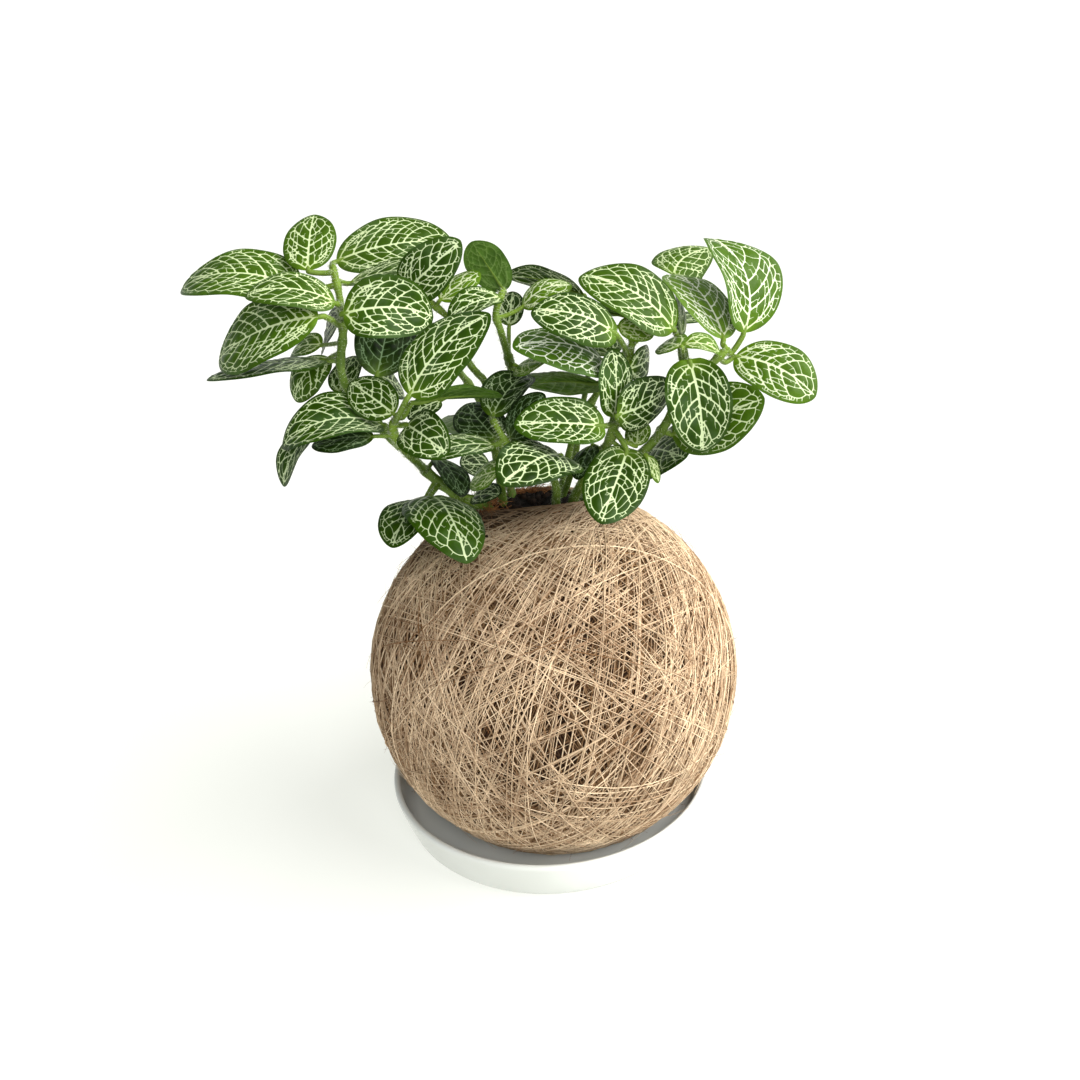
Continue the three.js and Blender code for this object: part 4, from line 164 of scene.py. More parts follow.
    ["blade_back_right_1", "leaf_back_right_1", "back_right", [17.83, 37.67, 123.62], [-0.543, 0.6093, -0.5778], [-0.0568, 0.6598, 0.7493], 33.57, 0.332, 0.664, 0.022, 0.436, -0.021, 0.0, 0.85, [[17.83, 37.67, 123.62], [18.37, 36.88, 123.93], [19.42, 32.77, 126.05], [19.64, 31.85, 126.4]], [20.03, 30.29, 127.01], 0.0, 0.0, 1.0],
    ["blade_back_left_1", "leaf_back_left_1", "back_left", [-32.98, 41.65, 151.76], [0.0068, 0.7937, -0.6082], [-0.0481, 0.6078, 0.7926], 32.81, 0.324, 0.726, 0.063, 0.462, 0.025, 0.0, 0.85, [[-32.98, 41.65, 151.76], [-32.98, 41.32, 151.86], [-33.26, 39.91, 152.61], [-33.22, 39.57, 152.68]], [-33.01, 37.9, 153.03], 0.0, 0.0, 1.0],
    ["blade_back_right_2", "leaf_back_right_2", "back_right", [37.83, 37.82, 150.3], [-0.9159, 0.3745, -0.1442], [0.0773, 0.5172, 0.8524], 33.79, 0.331, 0.844, 0.087, 0.4, 0.021, 0.0, 0.85, [[37.83, 37.82, 150.3], [38.05, 37.67, 150.24], [38.67, 37.28, 149.13], [38.8, 37.18, 148.92]], [39.67, 36.59, 147.55], 0.0, 0.0, 1.0],
    ["blade_back_left_2", "leaf_back_left_2", "back_left", [-14.95, 34.21, 124.61], [-0.1969, 0.7848, -0.5877], [-0.132, 0.5727, 0.809], 31.42, 0.346, 0.698, -0.011, 0.481, -0.018, 0.0, 0.85, [[-14.95, 34.21, 124.61], [-14.79, 33.54, 124.81], [-13.74, 31.08, 126.93], [-13.52, 30.52, 127.32]], [-12.98, 29.18, 128.25], 0.0, 0.0, 1.0],
    ["blade_back_right_3", "leaf_back_right_3", "back_right", [27.81, 37.9, 127.92], [0.5385, 0.6936, -0.4784], [0.1855, 0.4563, 0.8703], 34.59, 0.327, 0.525, -0.071, 0.425, -0.019, 0.0, 0.85, [[27.81, 37.9, 127.92], [27.32, 37.23, 128.12], [25.13, 34.59, 130.31], [24.75, 34.06, 130.88]], [24.0, 33.0, 132.0], 0.0, 0.0, 1.0],
    ["blade_back_right_4", "leaf_back_right_4", "back_right", [42.63, 41.74, 147.28], [0.768, 0.5642, -0.3031], [0.1734, 0.2724, 0.9464], 29.83, 0.322, 0.954, -0.129, 0.478, 0.027, 0.0, 0.85, [[42.63, 41.74, 147.28], [42.14, 41.34, 147.17], [40.43, 38.79, 147.11], [40.22, 38.19, 147.23]], [39.67, 36.59, 147.55], 0.0, 0.0, 1.0],
    ["blade_back_right_5", "leaf_back_right_5", "back_right", [27.71, 40.95, 138.07], [-0.6404, 0.7465, -0.1806], [-0.0123, 0.2251, 0.9743], 33.68, 0.32, 1.018, 0.015, 0.416, -0.028, 0.0, 0.85, [[27.71, 40.95, 138.07], [28.03, 40.51, 137.88], [28.33, 37.74, 137.8], [28.51, 37.19, 137.84]], [29.06, 35.56, 137.94], 0.0, 0.0, 1.0],
]


# ---------------------------------------------------------------- small helpers
def unit(v):
    v = np.asarray(v, float)
    return v / np.maximum(np.linalg.norm(v, axis=-1, keepdims=True), 1e-12)


def make_mesh(name, verts, tris, floats=None, uv=None, smooth=True, sharp=None):
    """A mesh object from arrays, in mm. floats are point attributes; uv has one row for each triangle corner."""
    verts = np.asarray(verts, np.float32) * MM
    tris = np.asarray(tris, np.int32)
    me = bpy.data.meshes.new(name)
    me.vertices.add(len(verts))
    me.vertices.foreach_set("co", verts.ravel())
    me.loops.add(3 * len(tris))
    me.loops.foreach_set("vertex_index", tris.ravel())
    me.polygons.add(len(tris))
    me.polygons.foreach_set("loop_start", np.arange(0, 3 * len(tris), 3, dtype=np.int32))
    me.polygons.foreach_set("loop_total", np.full(len(tris), 3, np.int32))
    me.update(calc_edges=True)
    me.polygons.foreach_set("use_smooth", np.full(len(tris), smooth, bool))
    for k, v in (floats or {}).items():
        a = me.attributes.new(k, "FLOAT", "POINT")
        a.data.foreach_set("value", np.asarray(v, np.float32))
    if uv is not None:
        layer = me.uv_layers.new(name="OFBake")
        layer.data.foreach_set("uv", np.asarray(uv, np.float32).ravel())
    if sharp is not None and len(sharp):
        n = len(me.edges)
        ev = np.empty(2 * n, np.int32)
        me.edges.foreach_get("vertices", ev)
        on = np.zeros(len(verts), bool)
        on[np.asarray(sharp)] = True
        ev = ev.reshape(-1, 2)
        hard = on[ev[:, 0]] & on[ev[:, 1]]
        a = me.attributes.get("sharp_edge") or me.attributes.new("sharp_edge", "BOOLEAN", "EDGE")
        a.data.foreach_set("value", hard)
    me.validate()
    ob = bpy.data.objects.new(name, me)
    bpy.context.scene.collection.objects.link(ob)
    return ob


class Bag:
    """Collects parts of one mesh."""

    def __init__(self):
        self.v, self.t, self.uv, self.f, self.m, self.n = [], [], [], {}, [], 0

    def add(self, v, t, uv, mat=0, **floats):
        v, t = np.asarray(v, float), np.asarray(t, int)
        self.v.append(v)
        self.t.append(t + self.n)
        self.uv.append(np.asarray(uv, float).reshape(-1, 2))
        self.m.append(np.full(len(t), mat, np.int32))
        for k in set(self.f) | set(floats):
            have = self.f.setdefault(k, [])
            while len(have) < len(self.v) - 1:
                have.append(np.zeros(len(self.v[len(have)])))
            have.append(np.broadcast_to(np.asarray(floats.get(k, 0.0), float), (len(v),)))
        self.n += len(v)

    def build(self, name, mats, sharp=None):
        ob = make_mesh(name, np.concatenate(self.v), np.concatenate(self.t), {k: np.concatenate(v) for k, v in self.f.items()},
                       np.concatenate(self.uv), sharp=sharp)
        for m in mats:
            ob.data.materials.append(m)
        if len(mats) > 1:
            ob.data.polygons.foreach_set("material_index", np.concatenate(self.m))
        return ob


def frames(p):
    """Tangents and turning-free side vectors along a polyline."""
    t = unit(np.gradient(p, axis=0))
    u = np.cross(t[0], [0, 0, 1.0] if abs(t[0][2]) < 0.9 else [1.0, 0, 0])
    us = []
    for i in range(len(p)):
        u = unit(u - t[i] * np.dot(u, t[i]))
        us.append(u)
    us = np.array(us)
    return t, us, np.cross(t, us)


def tube(p, r, sides, box=(0, 0, 1, 1), caps=True):
    """A round tube along p with radii r. Returns vertices, triangles, corner uvs and the station of each vertex."""
    p = np.asarray(p, float)
    n = len(p)
    r = np.broadcast_to(np.asarray(r, float), (n,))
    _, u, w = frames(p)
    ang = np.arange(sides) / sides * 2 * np.pi
    v = p[:, None] + r[:, None, None] * (np.cos(ang)[None, :, None] * u[:, None] + np.sin(ang)[None, :, None] * w[:, None])
    v = v.reshape(-1, 3)
    i, k = np.meshgrid(np.arange(n - 1), np.arange(sides), indexing="ij")
    i, k = i.ravel(), k.ravel()
    k2 = (k + 1) % sides
    a, b, c, d = i * sides + k, i * sides + k2, (i + 1) * sides + k2, (i + 1) * sides + k
    tris = np.concatenate([np.stack([a, b, c], 1), np.stack([a, c, d], 1)])
    x0, y0, x1, y1 = box
    U = lambda q: x0 + (x1 - x0) * q / (n - 1)
    V = lambda q: y0 + (y1 - y0) * q / sides
    A, B, C, D = (np.stack([U(i), V(k)], 1), np.stack([U(i), V(k + 1)], 1), np.stack([U(i + 1), V(k + 1)], 1), np.stack([U(i + 1), V(k)], 1))
    uv = np.concatenate([np.stack([A, B, C], 1), np.stack([A, C, D], 1)])
    st = np.repeat(np.arange(n) / (n - 1), sides)
    if caps:
        l = (n - 1) * sides
        v = np.concatenate([v, p[:1], p[-1:]])
        st = np.concatenate([st, [0.0, 1.0]])
        kk = np.arange(sides)
        e0 = np.stack([np.full(sides, len(v) - 2), (kk + 1) % sides, kk], 1)
        e1 = np.stack([np.full(sides, len(v) - 1), l + kk, l + (kk + 1) % sides], 1)
        tris = np.concatenate([tris, e0, e1])
        tiny = 1e-4
        f0 = np.stack([np.stack([np.full(sides, x0), V(kk + 0.5)], 1), np.stack([np.full(sides, x0 + tiny), V(kk + 1)], 1), np.stack([np.full(sides, x0 + tiny), V(kk)], 1)], 1)
        f1 = np.stack([np.stack([np.full(sides, x1), V(kk + 0.5)], 1), np.stack([np.full(sides, x1 - tiny), V(kk)], 1), np.stack([np.full(sides, x1 - tiny), V(kk + 1)], 1)], 1)
        uv = np.concatenate([uv, f0, f1])
    return v, tris, uv.reshape(-1, 2), st


def many_tubes(P, R, sides, closed=False, box=(0, 0, 1, 1)):
    """Many tubes with the same number of points: P (k, n, 3), R (k, n). Ends are left open, without caps, unless each
    is a closed ring.
    """
    K, n, _ = P.shape
    T = unit(np.roll(P, -1, 1) - np.roll(P, 1, 1)) if closed else unit(np.gradient(P, axis=1))
    if closed:
        mid = P.mean(1, keepdims=True)
    else:
        mid = P.mean(1, keepdims=True) - 7.0 * unit(P.mean(1, keepdims=True) - BALL_C)
    out = P - mid
    u = unit(out - T * (out * T).sum(-1, keepdims=True))
    w = np.cross(T, u)
    ang = np.arange(sides) / sides * 2 * np.pi + np.pi / 2
    V = P[:, :, None] + R[:, :, None, None] * (np.cos(ang)[None, None, :, None] * w[:, :, None] + np.sin(ang)[None, None, :, None] * u[:, :, None])
    V = V.reshape(-1, 3)
    ns = n if closed else n - 1
    kk, i, s = (q.ravel() for q in np.meshgrid(np.arange(K), np.arange(ns), np.arange(sides), indexing="ij"))
    s2, i2 = (s + 1) % sides, (i + 1) % n
    base = kk * n * sides
    a, b, c, d = base + i * sides + s, base + i * sides + s2, base + i2 * sides + s2, base + i2 * sides + s
    tris = np.concatenate([np.stack([a, c, b], 1), np.stack([a, d, c], 1)])
    x0, y0, x1, y1 = box
    dy = (y1 - y0) / K
    X = lambda q: x0 + (x1 - x0) * q / ns
    Y = lambda k, q: y0 + dy * (k + 0.08 + 0.84 * q / sides)
    A, B, C, D = (np.stack([X(i), Y(kk, s)], 1), np.stack([X(i), Y(kk, s + 1)], 1), np.stack([X(i + 1), Y(kk, s + 1)], 1), np.stack([X(i + 1), Y(kk, s)], 1))
    uv = np.concatenate([np.stack([A, C, B], 1), np.stack([A, D, C], 1)]).reshape(-1, 2)
    return V, tris, uv


def hairs(roots, dirs, length, r0, rng, cell=(0, 0, 1, 1)):
    """Fine tapered hairs, three-sided, closed at root and tip."""
    K = len(roots)
    side = unit(np.cross(dirs, rng.normal(size=(K, 3))))
    L = np.broadcast_to(length, (K,))[:, None]
    w = np.cross(dirs, side)
    V = np.empty((K, 4, 3))
    for s in range(3):
        c, q = math.cos(s * 2.0944), math.sin(s * 2.0944)
        V[:, s] = roots - dirs * 0.1 + r0 * (side * c + w * q)
    V[:, 3] = roots + dirs * L
    one = np.array([(0, 1, 3), (1, 2, 3), (2, 0, 3), (0, 2, 1)])
    tris = (one[None] + 4 * np.arange(K)[:, None, None]).reshape(-1, 3)
    n = int(math.ceil(math.sqrt(K)))
    x0, y0, x1, y1 = cell
    cx, cy = x0 + (x1 - x0) * (np.arange(K) % n) / n, y0 + (y1 - y0) * (np.arange(K) // n) / n
    dx, dy = (x1 - x0) / n * 0.9, (y1 - y0) / n * 0.9
    loc = []
    for s in range(3):
        a = s * 0.25
        loc += [(a, 0), (a + 0.22, 0), (a + 0.11, 1)]
    loc += [(0.8, 0), (0.98, 0), (0.89, 0.4)]
    loc = np.array(loc)
    uv = np.stack([cx[:, None] + dx * loc[None, :, 0], cy[:, None] + dy * loc[None, :, 1]], -1).reshape(-1, 2)
    return V.reshape(-1, 3), tris, uv


def catmull(p, step):
    """A smooth curve through the points, sampled about every step."""
    p = np.asarray(p, float)
    q = np.concatenate([[2 * p[0] - p[1]], p, [2 * p[-1] - p[-2]]])
    out = []
    for i in range(len(p) - 1):
        a, b, c, d = q[i:i + 4]
        n = max(1, int(round(np.linalg.norm(c - b) / step)))
        for k in range(n):
            t = k / n
            out.append(0.5 * ((2 * b) + (c - a) * t + (2 * a - 5 * b + 4 * c - d) * t * t + (3 * b - a - 3 * c + d) * t ** 3))
    out.append(p[-1])
    return np.array(out)


def bezier(c, n):
    t = np.linspace(0, 1, n)[:, None]
    c = np.asarray(c, float)
    return c[0] * (1 - t) ** 3 + 3 * c[1] * (1 - t) ** 2 * t + 3 * c[2] * (1 - t) * t * t + c[3] * t ** 3


def resample(p, step):
    p = np.asarray(p, float)
    s = np.concatenate([[0], np.cumsum(np.linalg.norm(np.diff(p, axis=0), axis=1))])
    n = max(1, int(round(s[-1] / step)))
    q = np.linspace(0, s[-1], n + 1)
    return np.stack([np.interp(q, s, p[:, k]) for k in range(p.shape[1])], 1)


def seg_dist(P, A, B):
    """Distance from each point of P to each segment A-B, in the plane, and the place along it."""
    d = B - A
    L2 = np.maximum((d * d).sum(1), 1e-9)
    t = np.clip(((P[:, None] - A[None]) * d[None]).sum(-1) / L2[None], 0, 1)
    q = A[None] + t[..., None] * d[None]
    return np.linalg.norm(P[:, None] - q, axis=-1), t


# ---------------------------------------------------------------- materials
def new_mat(name):
    m = bpy.data.materials.new(name)
    m.use_nodes = True
    m.node_tree.nodes.clear()
    out = m.node_tree.nodes.new("ShaderNodeOutputMaterial")
    b = m.node_tree.nodes.new("ShaderNodeBsdfPrincipled")
    m.node_tree.links.new(b.outputs[0], out.inputs[0])
    return m, Graph(m.node_tree), b


class Graph:
    def __init__(self, nt):
        self.nt = nt

    def node(self, kind, **props):
        n = self.nt.nodes.new(kind)
        for k, v in props.items():
            setattr(n, k, v)
        return n

    def put(self, socket, v):
        if isinstance(v, bpy.types.NodeSocket):
            self.nt.links.new(v, socket)
        else:
            socket.default_value = v

    def attr(self, name):
        return self.node("ShaderNodeAttribute", attribute_name=name).outputs["Fac"]

    def math(self, op, a, b=0.0, c=None, clamp=False):
        n = self.node("ShaderNodeMath", operation=op, use_clamp=clamp)
        self.put(n.inputs[0], a)
        self.put(n.inputs[1], b)
        if c is not None:
            self.put(n.inputs[2], c)
        return n.outputs[0]

    def remap(self, v, a, b, c=0.0, d=1.0, smooth=True):
        n = self.node("ShaderNodeMapRange", interpolation_type="SMOOTHSTEP" if smooth else "LINEAR")
        for i, x in enumerate((v, a, b, c, d)):
            self.put(n.inputs[i], x)
        return n.outputs[0]

    def mix(self, f, a, b, mode="MIX"):
        n = self.node("ShaderNodeMix", data_type="RGBA", blend_type=mode)
        n.clamp_factor = True
        self.put(n.inputs[0], f)
        self.put(n.inputs[6], a if isinstance(a, bpy.types.NodeSocket) else (*a, 1.0))
        self.put(n.inputs[7], b if isinstance(b, bpy.types.NodeSocket) else (*b, 1.0))
        return n.outputs[2]

    def coords(self, scale=1.0, stretch=(1, 1, 1)):
        tc = self.node("ShaderNodeTexCoord")
        mp = self.node("ShaderNodeMapping")
        self.nt.links.new(tc.outputs["Object"], mp.inputs["Vector"])
        mp.inputs["Scale"].default_value = tuple(scale * s for s in stretch)
        return mp.outputs[0]

    def noise(self, vec, scale, detail=3.0, rough=0.55, distort=0.0):
        n = self.node("ShaderNodeTexNoise")
        self.put(n.inputs["Vector"], vec)
        n.inputs["Scale"].default_value = scale
        n.inputs["Detail"].default_value = detail
        n.inputs["Roughness"].default_value = rough
        n.inputs["Distortion"].default_value = distort
        return n.outputs["Fac"]

    def bump(self, height, strength, distance):
        n = self.node("ShaderNodeBump")
        n.inputs["Strength"].default_value = strength
        n.inputs["Distance"].default_value = distance
        self.put(n.inputs["Height"], height)
        return n.outputs[0]


def srgb(r, g, b):
    f = lambda c: (c / 255 / 12.92) if c / 255 <= 0.04045 else ((c / 255 + 0.055) / 1.055) ** 2.4
    return (f(r), f(g), f(b))


def leaf_material(under=False):
    m, g, b = new_mat("leaf_underside" if under else "leaf_blade")
    co = g.coords(1000.0)
    n1 = g.noise(co, 0.16, 2.0)
    n2 = g.noise(co, 1.4, 4.0, 0.6)
    tone, yellow, vein, deep = g.attr("tone"), g.attr("yellow"), g.attr("vein"), g.attr("depth")
    if under:
        base = g.mix(g.remap(n1, 0.35, 0.65), srgb(58, 88, 22), srgb(76, 108, 34))
        veincol = g.mix(0.5, srgb(112, 138, 70), srgb(124, 150, 82))
        mask = g.math("MULTIPLY", g.remap(vein, -0.10, 0.14), 0.55)
    else:
        dark = g.mix(g.remap(n1, 0.35, 0.65), srgb(8, 19, 2), srgb(12, 26, 4))
        light = g.mix(g.remap(n1, 0.35, 0.65), srgb(44, 74, 2), srgb(58, 90, 5))
        base = g.mix(g.remap(tone, -1.0, 1.0, 0.0, 1.0, smooth=False), dark, light)
        # cells are paler towards their veins and deepest in the middle
        base = g.mix(g.math("MULTIPLY", g.remap(deep, 0.9, 0.1), 0.16), base, srgb(62, 94, 18))
        # painted sheen: greyish patches over the blade that stand for the reflection of the bright room
        painted_sheen = g.math("MULTIPLY", g.remap(g.noise(co, 0.075, 2.0), 0.52, 0.68), 0.16)
        base = g.mix(painted_sheen, base, srgb(98, 122, 88))
        base = g.mix(yellow, base, srgb(104, 138, 30))
        pale = g.mix(g.remap(tone, -1.0, -0.35), srgb(102, 126, 90), srgb(188, 202, 156))
        pale = g.mix(g.remap(tone, 0.35, 1.0), pale, srgb(210, 218, 190))
        # tone from 1 to 2 paints light onto leaves that sit in shade: paler veins and a lighter green
        painted_lift = g.remap(tone, 1.0, 2.0, 0.0, 1.0, smooth=False)
        pale = g.mix(painted_lift, pale, srgb(244, 248, 232))
        base = g.mix(g.math("MULTIPLY", painted_lift, 0.6), base, srgb(104, 136, 52))
        veincol = g.mix(g.math("MULTIPLY", yellow, 0.75), pale, srgb(158, 170, 86))
        mask = g.remap(vein, -0.05, 0.07)
    base = g.mix(g.math("MULTIPLY", g.remap(n2, 0.3, 0.75), 0.16), base, srgb(20, 40, 12))
    g.put(b.inputs["Base Color"], g.mix(mask, base, veincol))
    rough = g.remap(n2, 0.3, 0.7, 0.44 if under else 0.30, 0.56 if under else 0.42)
    g.put(b.inputs["Roughness"], rough)
    b.inputs["Specular IOR Level"].default_value = 0.2 if under else 0.09
    b.inputs["Subsurface Weight"].default_value = 0.0
    g.put(b.inputs["Normal"], g.bump(g.noise(co, 3.2, 3.0, 0.6), 0.25, 0.00025))
    return m


def stem_material():
    m, g, b = new_mat("green_stem")
    co = g.coords(1000.0)
    n1 = g.noise(co, 0.22, 3.0)
    n2 = g.noise(g.coords(1000.0, (1, 1, 0.25)), 1.6, 4.0, 0.6)
    yellow = g.attr("yellow")
    c = g.mix(g.remap(n1, 0.3, 0.7), srgb(66, 90, 22), srgb(92, 116, 40))
    c = g.mix(g.math("MULTIPLY", g.remap(n2, 0.4, 0.75), 0.3), c, srgb(122, 140, 72))
    c = g.mix(yellow, c, srgb(112, 138, 40))
    g.put(b.inputs["Base Color"], c)
    g.put(b.inputs["Roughness"], g.remap(n2, 0.3, 0.7, 0.42, 0.6))
    b.inputs["Specular IOR Level"].default_value = 0.2
    g.put(b.inputs["Normal"], g.bump(n2, 0.35, 0.0003))
    return m


def hair_material():
    m, g, b = new_mat("stem_hair")
    n1 = g.noise(g.coords(1000.0), 0.5, 2.0)
    g.put(b.inputs["Base Color"], g.mix(g.remap(n1, 0.3, 0.7), srgb(176, 190, 146), srgb(204, 212, 182)))
    b.inputs["Roughness"].default_value = 0.5
    return m


def thread_material(name, a, c, e):
    m, g, b = new_mat(name)
    co = g.coords(1000.0)
    n1 = g.noise(co, 0.055, 2.0)
    n2 = g.noise(co, 1.1, 3.0, 0.65)
    tone = g.attr("tone")
    col = g.mix(g.math("ADD", g.math("MULTIPLY", tone, 0.72), g.math("MULTIPLY", g.remap(n1, 0.3, 0.7), 0.28)), a, c)
    col = g.mix(g.math("MULTIPLY", g.remap(n2, 0.45, 0.8), 0.5), col, e)
    # painted shade near the mouth, read from the yellow attribute that wind() gives the threads
    col = g.mix(g.math("MULTIPLY", g.attr("yellow"), 0.92), col, tuple(0.40 * x for x in e))
    g.put(b.inputs["Base Color"], col)
    g.put(b.inputs["Roughness"], g.remap(n2, 0.3, 0.7, 0.62, 0.85))
    b.inputs["Specular IOR Level"].default_value = 0.25
    g.put(b.inputs["Normal"], g.bump(n2, 0.5, 0.0002))
    return m


def ground_material(name, a, c, e, scale, rough=(0.8, 1.0), bump=0.0012):
    m, g, b = new_mat(name)
    co = g.coords(1000.0)
    n1 = g.noise(co, 0.12 * scale, 4.0, 0.6)
    n2 = g.noise(co, 0.9 * scale, 5.0, 0.7, 0.6)
    col = g.mix(g.remap(n1, 0.3, 0.7), a, c)
    col = g.mix(g.math("MULTIPLY", g.remap(n2, 0.45, 0.75), 0.7), col, e)
    g.put(b.inputs["Base Color"], col)
    g.put(b.inputs["Roughness"], g.remap(n1, 0.3, 0.7, *rough))
    b.inputs["Specular IOR Level"].default_value = 0.2
    g.put(b.inputs["Normal"], g.bump(n2, 0.8, bump))
    return m


def glaze_material():
    m, g, b = new_mat("glazed_ceramic")
    co = g.coords(1000.0)
    n1 = g.noise(co, 0.03, 2.0)
    n2 = g.noise(co, 0.25, 3.0)
    g.put(b.inputs["Base Color"], g.mix(g.remap(n1, 0.35, 0.65), srgb(213, 215, 209), srgb(221, 223, 218)))
    g.put(b.inputs["Roughness"], g.remap(n2, 0.3, 0.7, 0.10, 0.17))
    b.inputs["Specular IOR Level"].default_value = 0.5
    g.put(b.inputs["Normal"], g.bump(n2, 0.06, 0.0004))
    return m


LEAF, UNDER, STEM, HAIR, GLAZE = leaf_material(), leaf_material(True), stem_material(), hair_material(), glaze_material()
# the mid and deep copies are the same jute painted darker: painted shade for the lower layers of the winding
THREAD = thread_material("jute_thread", srgb(132, 97, 63), srgb(250, 225, 190), srgb(115, 83, 53))
THREAD_MID_SHADED = thread_material("jute_thread_mid_painted_shade", srgb(77, 53, 31), srgb(154, 119, 82), srgb(62, 42, 24))
THREAD_DEEP_SHADED = thread_material("jute_thread_deep_painted_shade", srgb(46, 30, 16), srgb(86, 60, 37), srgb(33, 22, 11))
MAT_COIR = ground_material("coir_mat", srgb(46, 29, 18), srgb(72, 46, 29), srgb(24, 14, 9), 1.0)
FIBRE = thread_material("coir_fibre", srgb(98, 60, 34), srgb(176, 122, 74), srgb(70, 42, 26))
SOIL = ground_material("potting_soil", srgb(13, 9, 7), srgb(24, 17, 12), srgb(6, 4, 3), 1.6)
GRIT = ground_material("soil_grit", srgb(22, 15, 11), srgb(44, 30, 20), srgb(10, 7, 5), 2.5)


# ---------------------------------------------------------------- leaves
def half_outline(th, c, lobe):
    ct = np.cos(th)
    up = ct >= 0
    x = np.where(up, c + (1 - c) * ct, c + (c + lobe) * ct)
    y = np.where(up, np.maximum(0, 1 - ct ** 2) ** 0.62, np.sqrt(np.maximum(0, 1 - np.abs(ct) ** 2.3)))
    s = np.clip(1 - y / 0.30, 0, 1)
    return np.where(ct < -0.5, x + lobe * s * s * (3 - 2 * s), x), y


def leaf_net(L, w, c, lobe, rng, vw):
    """The veins of one leaf in its flat plane, in mm: a list of (points, half width at each point, order)."""
    N = 121
    th = np.linspace(0, np.pi, N)
    X, Y = half_outline(th, c, lobe)
    O = np.stack([X * L, Y * w], 1)
    T = unit(np.gradient(O, axis=0))
    Nn = np.stack([-T[:, 1], T[:, 0]], 1)          # outward is -Nn for this winding; inward chosen below
    inward = np.where(((np.array([c * L, 0]) - O) * Nn).sum(1, keepdims=True) > 0, Nn, -Nn)
    m1, m2 = 0.045 * w + 0.32, 0.150 * w + 0.75
    inset = lambda d, f: np.stack([np.interp(f, np.arange(N), O[:, 0] + d * inward[:, 0]), np.maximum(0.0, np.interp(f, np.arange(N), O[:, 1] + d * inward[:, 1]))], -1)
    k = 0.55 + 0.45 * min(1.3, w / 10.0)
    hm, hs, ha, ho, hr = 0.38 * k * vw, 0.200 * k * vw, 0.130 * k * vw, 0.060 * k * vw, 0.086 * k * vw
    lines = []

    def put(p, a, b, order, step=None):
        p = resample(np.asarray(p, float), 0.8 if order < 2 else 0.72)
        lines.append((p, np.linspace(a, b, len(p)), order))

    tipx = L - m1 - 0.2
    mx = np.linspace(0.0, tipx, 14)
    put(np.stack([mx, 0.010 * w * np.sin(mx / L * 9 + rng.uniform(0, 6)) * (mx / L)], 1), hm, hm * 0.36, 0)
    n = int(np.clip(round(L / 6.0) + 1, 3, 7))
    for sd in (1, -1):
        sid = np.array([1.0, sd])
        off = 0.0 if sd > 0 else 0.32
        st = (0.035 + 0.77 * ((np.arange(n) + off * (np.arange(n) > 0)) / n) ** 1.06 + rng.normal(0, 0.006, n)) * L
        st[0] = max(st[0], 0.02 * L)
        inner = inset(m2, np.arange(N, dtype=float))
        paths, land = [], []
        for i in range(n):
            s = st[i] / L
            want = min(st[i] + w * (0.80 - 0.30 * s) + rng.normal(0, 0.12), L * 0.93)
            f = float(np.argmin(np.abs(inner[:100, 0] - want)))
            if land:
                f = min(f, land[-1] - 3.0)
            land.append(max(f, 4.0))
            q = inset(m2, land[-1])
            dx = q[0] - st[i]
            c1 = np.array([st[i] + 0.30 * dx, 0.60 * q[1]])
            t = np.linspace(0, 1, 15)[:, None]
            a = np.array([st[i], 0.0])
            wob = rng.normal(0, 0.10, 3)
            p = a * (1 - t) ** 2 + 2 * c1 * t * (1 - t) + q * t * t
            p[:, 0] += (np.sin(t[:, 0] * np.pi) * wob[0] + np.sin(t[:, 0] * 2 * np.pi) * wob[1])
            paths.append(p)
            put(p * sid, hs * (1.05 - 0.15 * s), hs * 0.70, 1)
        # loops that join each side vein's end to the next one
        def arch_d(fr):
            return m2 - 0.42 * (m2 - m1) * np.sin(np.pi * fr)
        ends = [112.0] + land + [0.0]
        for i in range(n + 1):
            a, b = ends[i], ends[i + 1]
            fr = np.linspace(0, 1, 12)
            f = a + (b - a) * fr
            p = np.array([inset(arch_d(x), y) for x, y in zip(fr, f)])
            if i == n:
                p[-1] = [tipx, 0.0]
            if i == 0:
                p[0] = [0.015 * L, 0.0]
                base_arc = p
            put(p * sid, ha * (0.7 if i == 0 else 1.0), ha * 0.85, 1)
        # a fine line near the edge, in pieces
        f = np.linspace(1.0, 112.0, 90)
        outer = np.array([inset(m1 + 0.10, y) for y in f])
        ol = np.concatenate([[0], np.cumsum(np.linalg.norm(np.diff(outer, axis=0), axis=1))])
        x = rng.uniform(0, 3.0)
        while x < ol[-1] - 2.0:
            run = rng.uniform(1.8, 5.0)
            if rng.uniform() < 0.55:
                k0, k1 = np.searchsorted(ol, x), min(np.searchsorted(ol, x + run), 89)
                if k1 - k0 > 2:
                    put(outer[k0:k1 + 1] * sid, ho * 0.5, ho, 2)
            x += run + rng.uniform(0.6, 2.5)
        # short rungs from the loops to it
        x, step = rng.uniform(0.8, 1.6), 0.110 * w + 1.30
        while x < ol[-1] - 1.0:
            ff = np.interp(x, ol, f)
            ei = int(np.searchsorted(-np.array(ends), -ff)) - 1
            if 0 <= ei <= n:
                a, b = ends[ei], ends[ei + 1]
                fr = (ff - a) / (b - a) if b != a else 0
                d = arch_d(np.clip(fr, 0, 1))
            else:
                d = m2
            p0, p1 = inset(d, ff), inset(m1 - 0.10 * rng.uniform(), ff + rng.normal(0, 1.2))
            if p0[1] > 0.6:
                put(np.array([p0, 0.5 * (p0 + p1) + rng.normal(0, 0.06, 2), p1]) * sid, hr * 1.05, hr * 0.5, 2, 0.4)
            x += step * rng.uniform(0.75, 1.3)
        # short ties from the lowest side vein to the arc below it
        for q in base_arc[2:-1:2 if w < 9 else 1]:
            if rng.uniform() < 0.55:
                j = int(np.argmin(np.linalg.norm(paths[0] - q, axis=1)))
                if 0.7 < np.linalg.norm(paths[0][j] - q) < 5.0:
                    put(np.array([q, 0.5 * (q + paths[0][j]) + rng.normal(0, 0.1, 2), paths[0][j]]) * sid, hr, hr * 0.9, 2, 0.45)
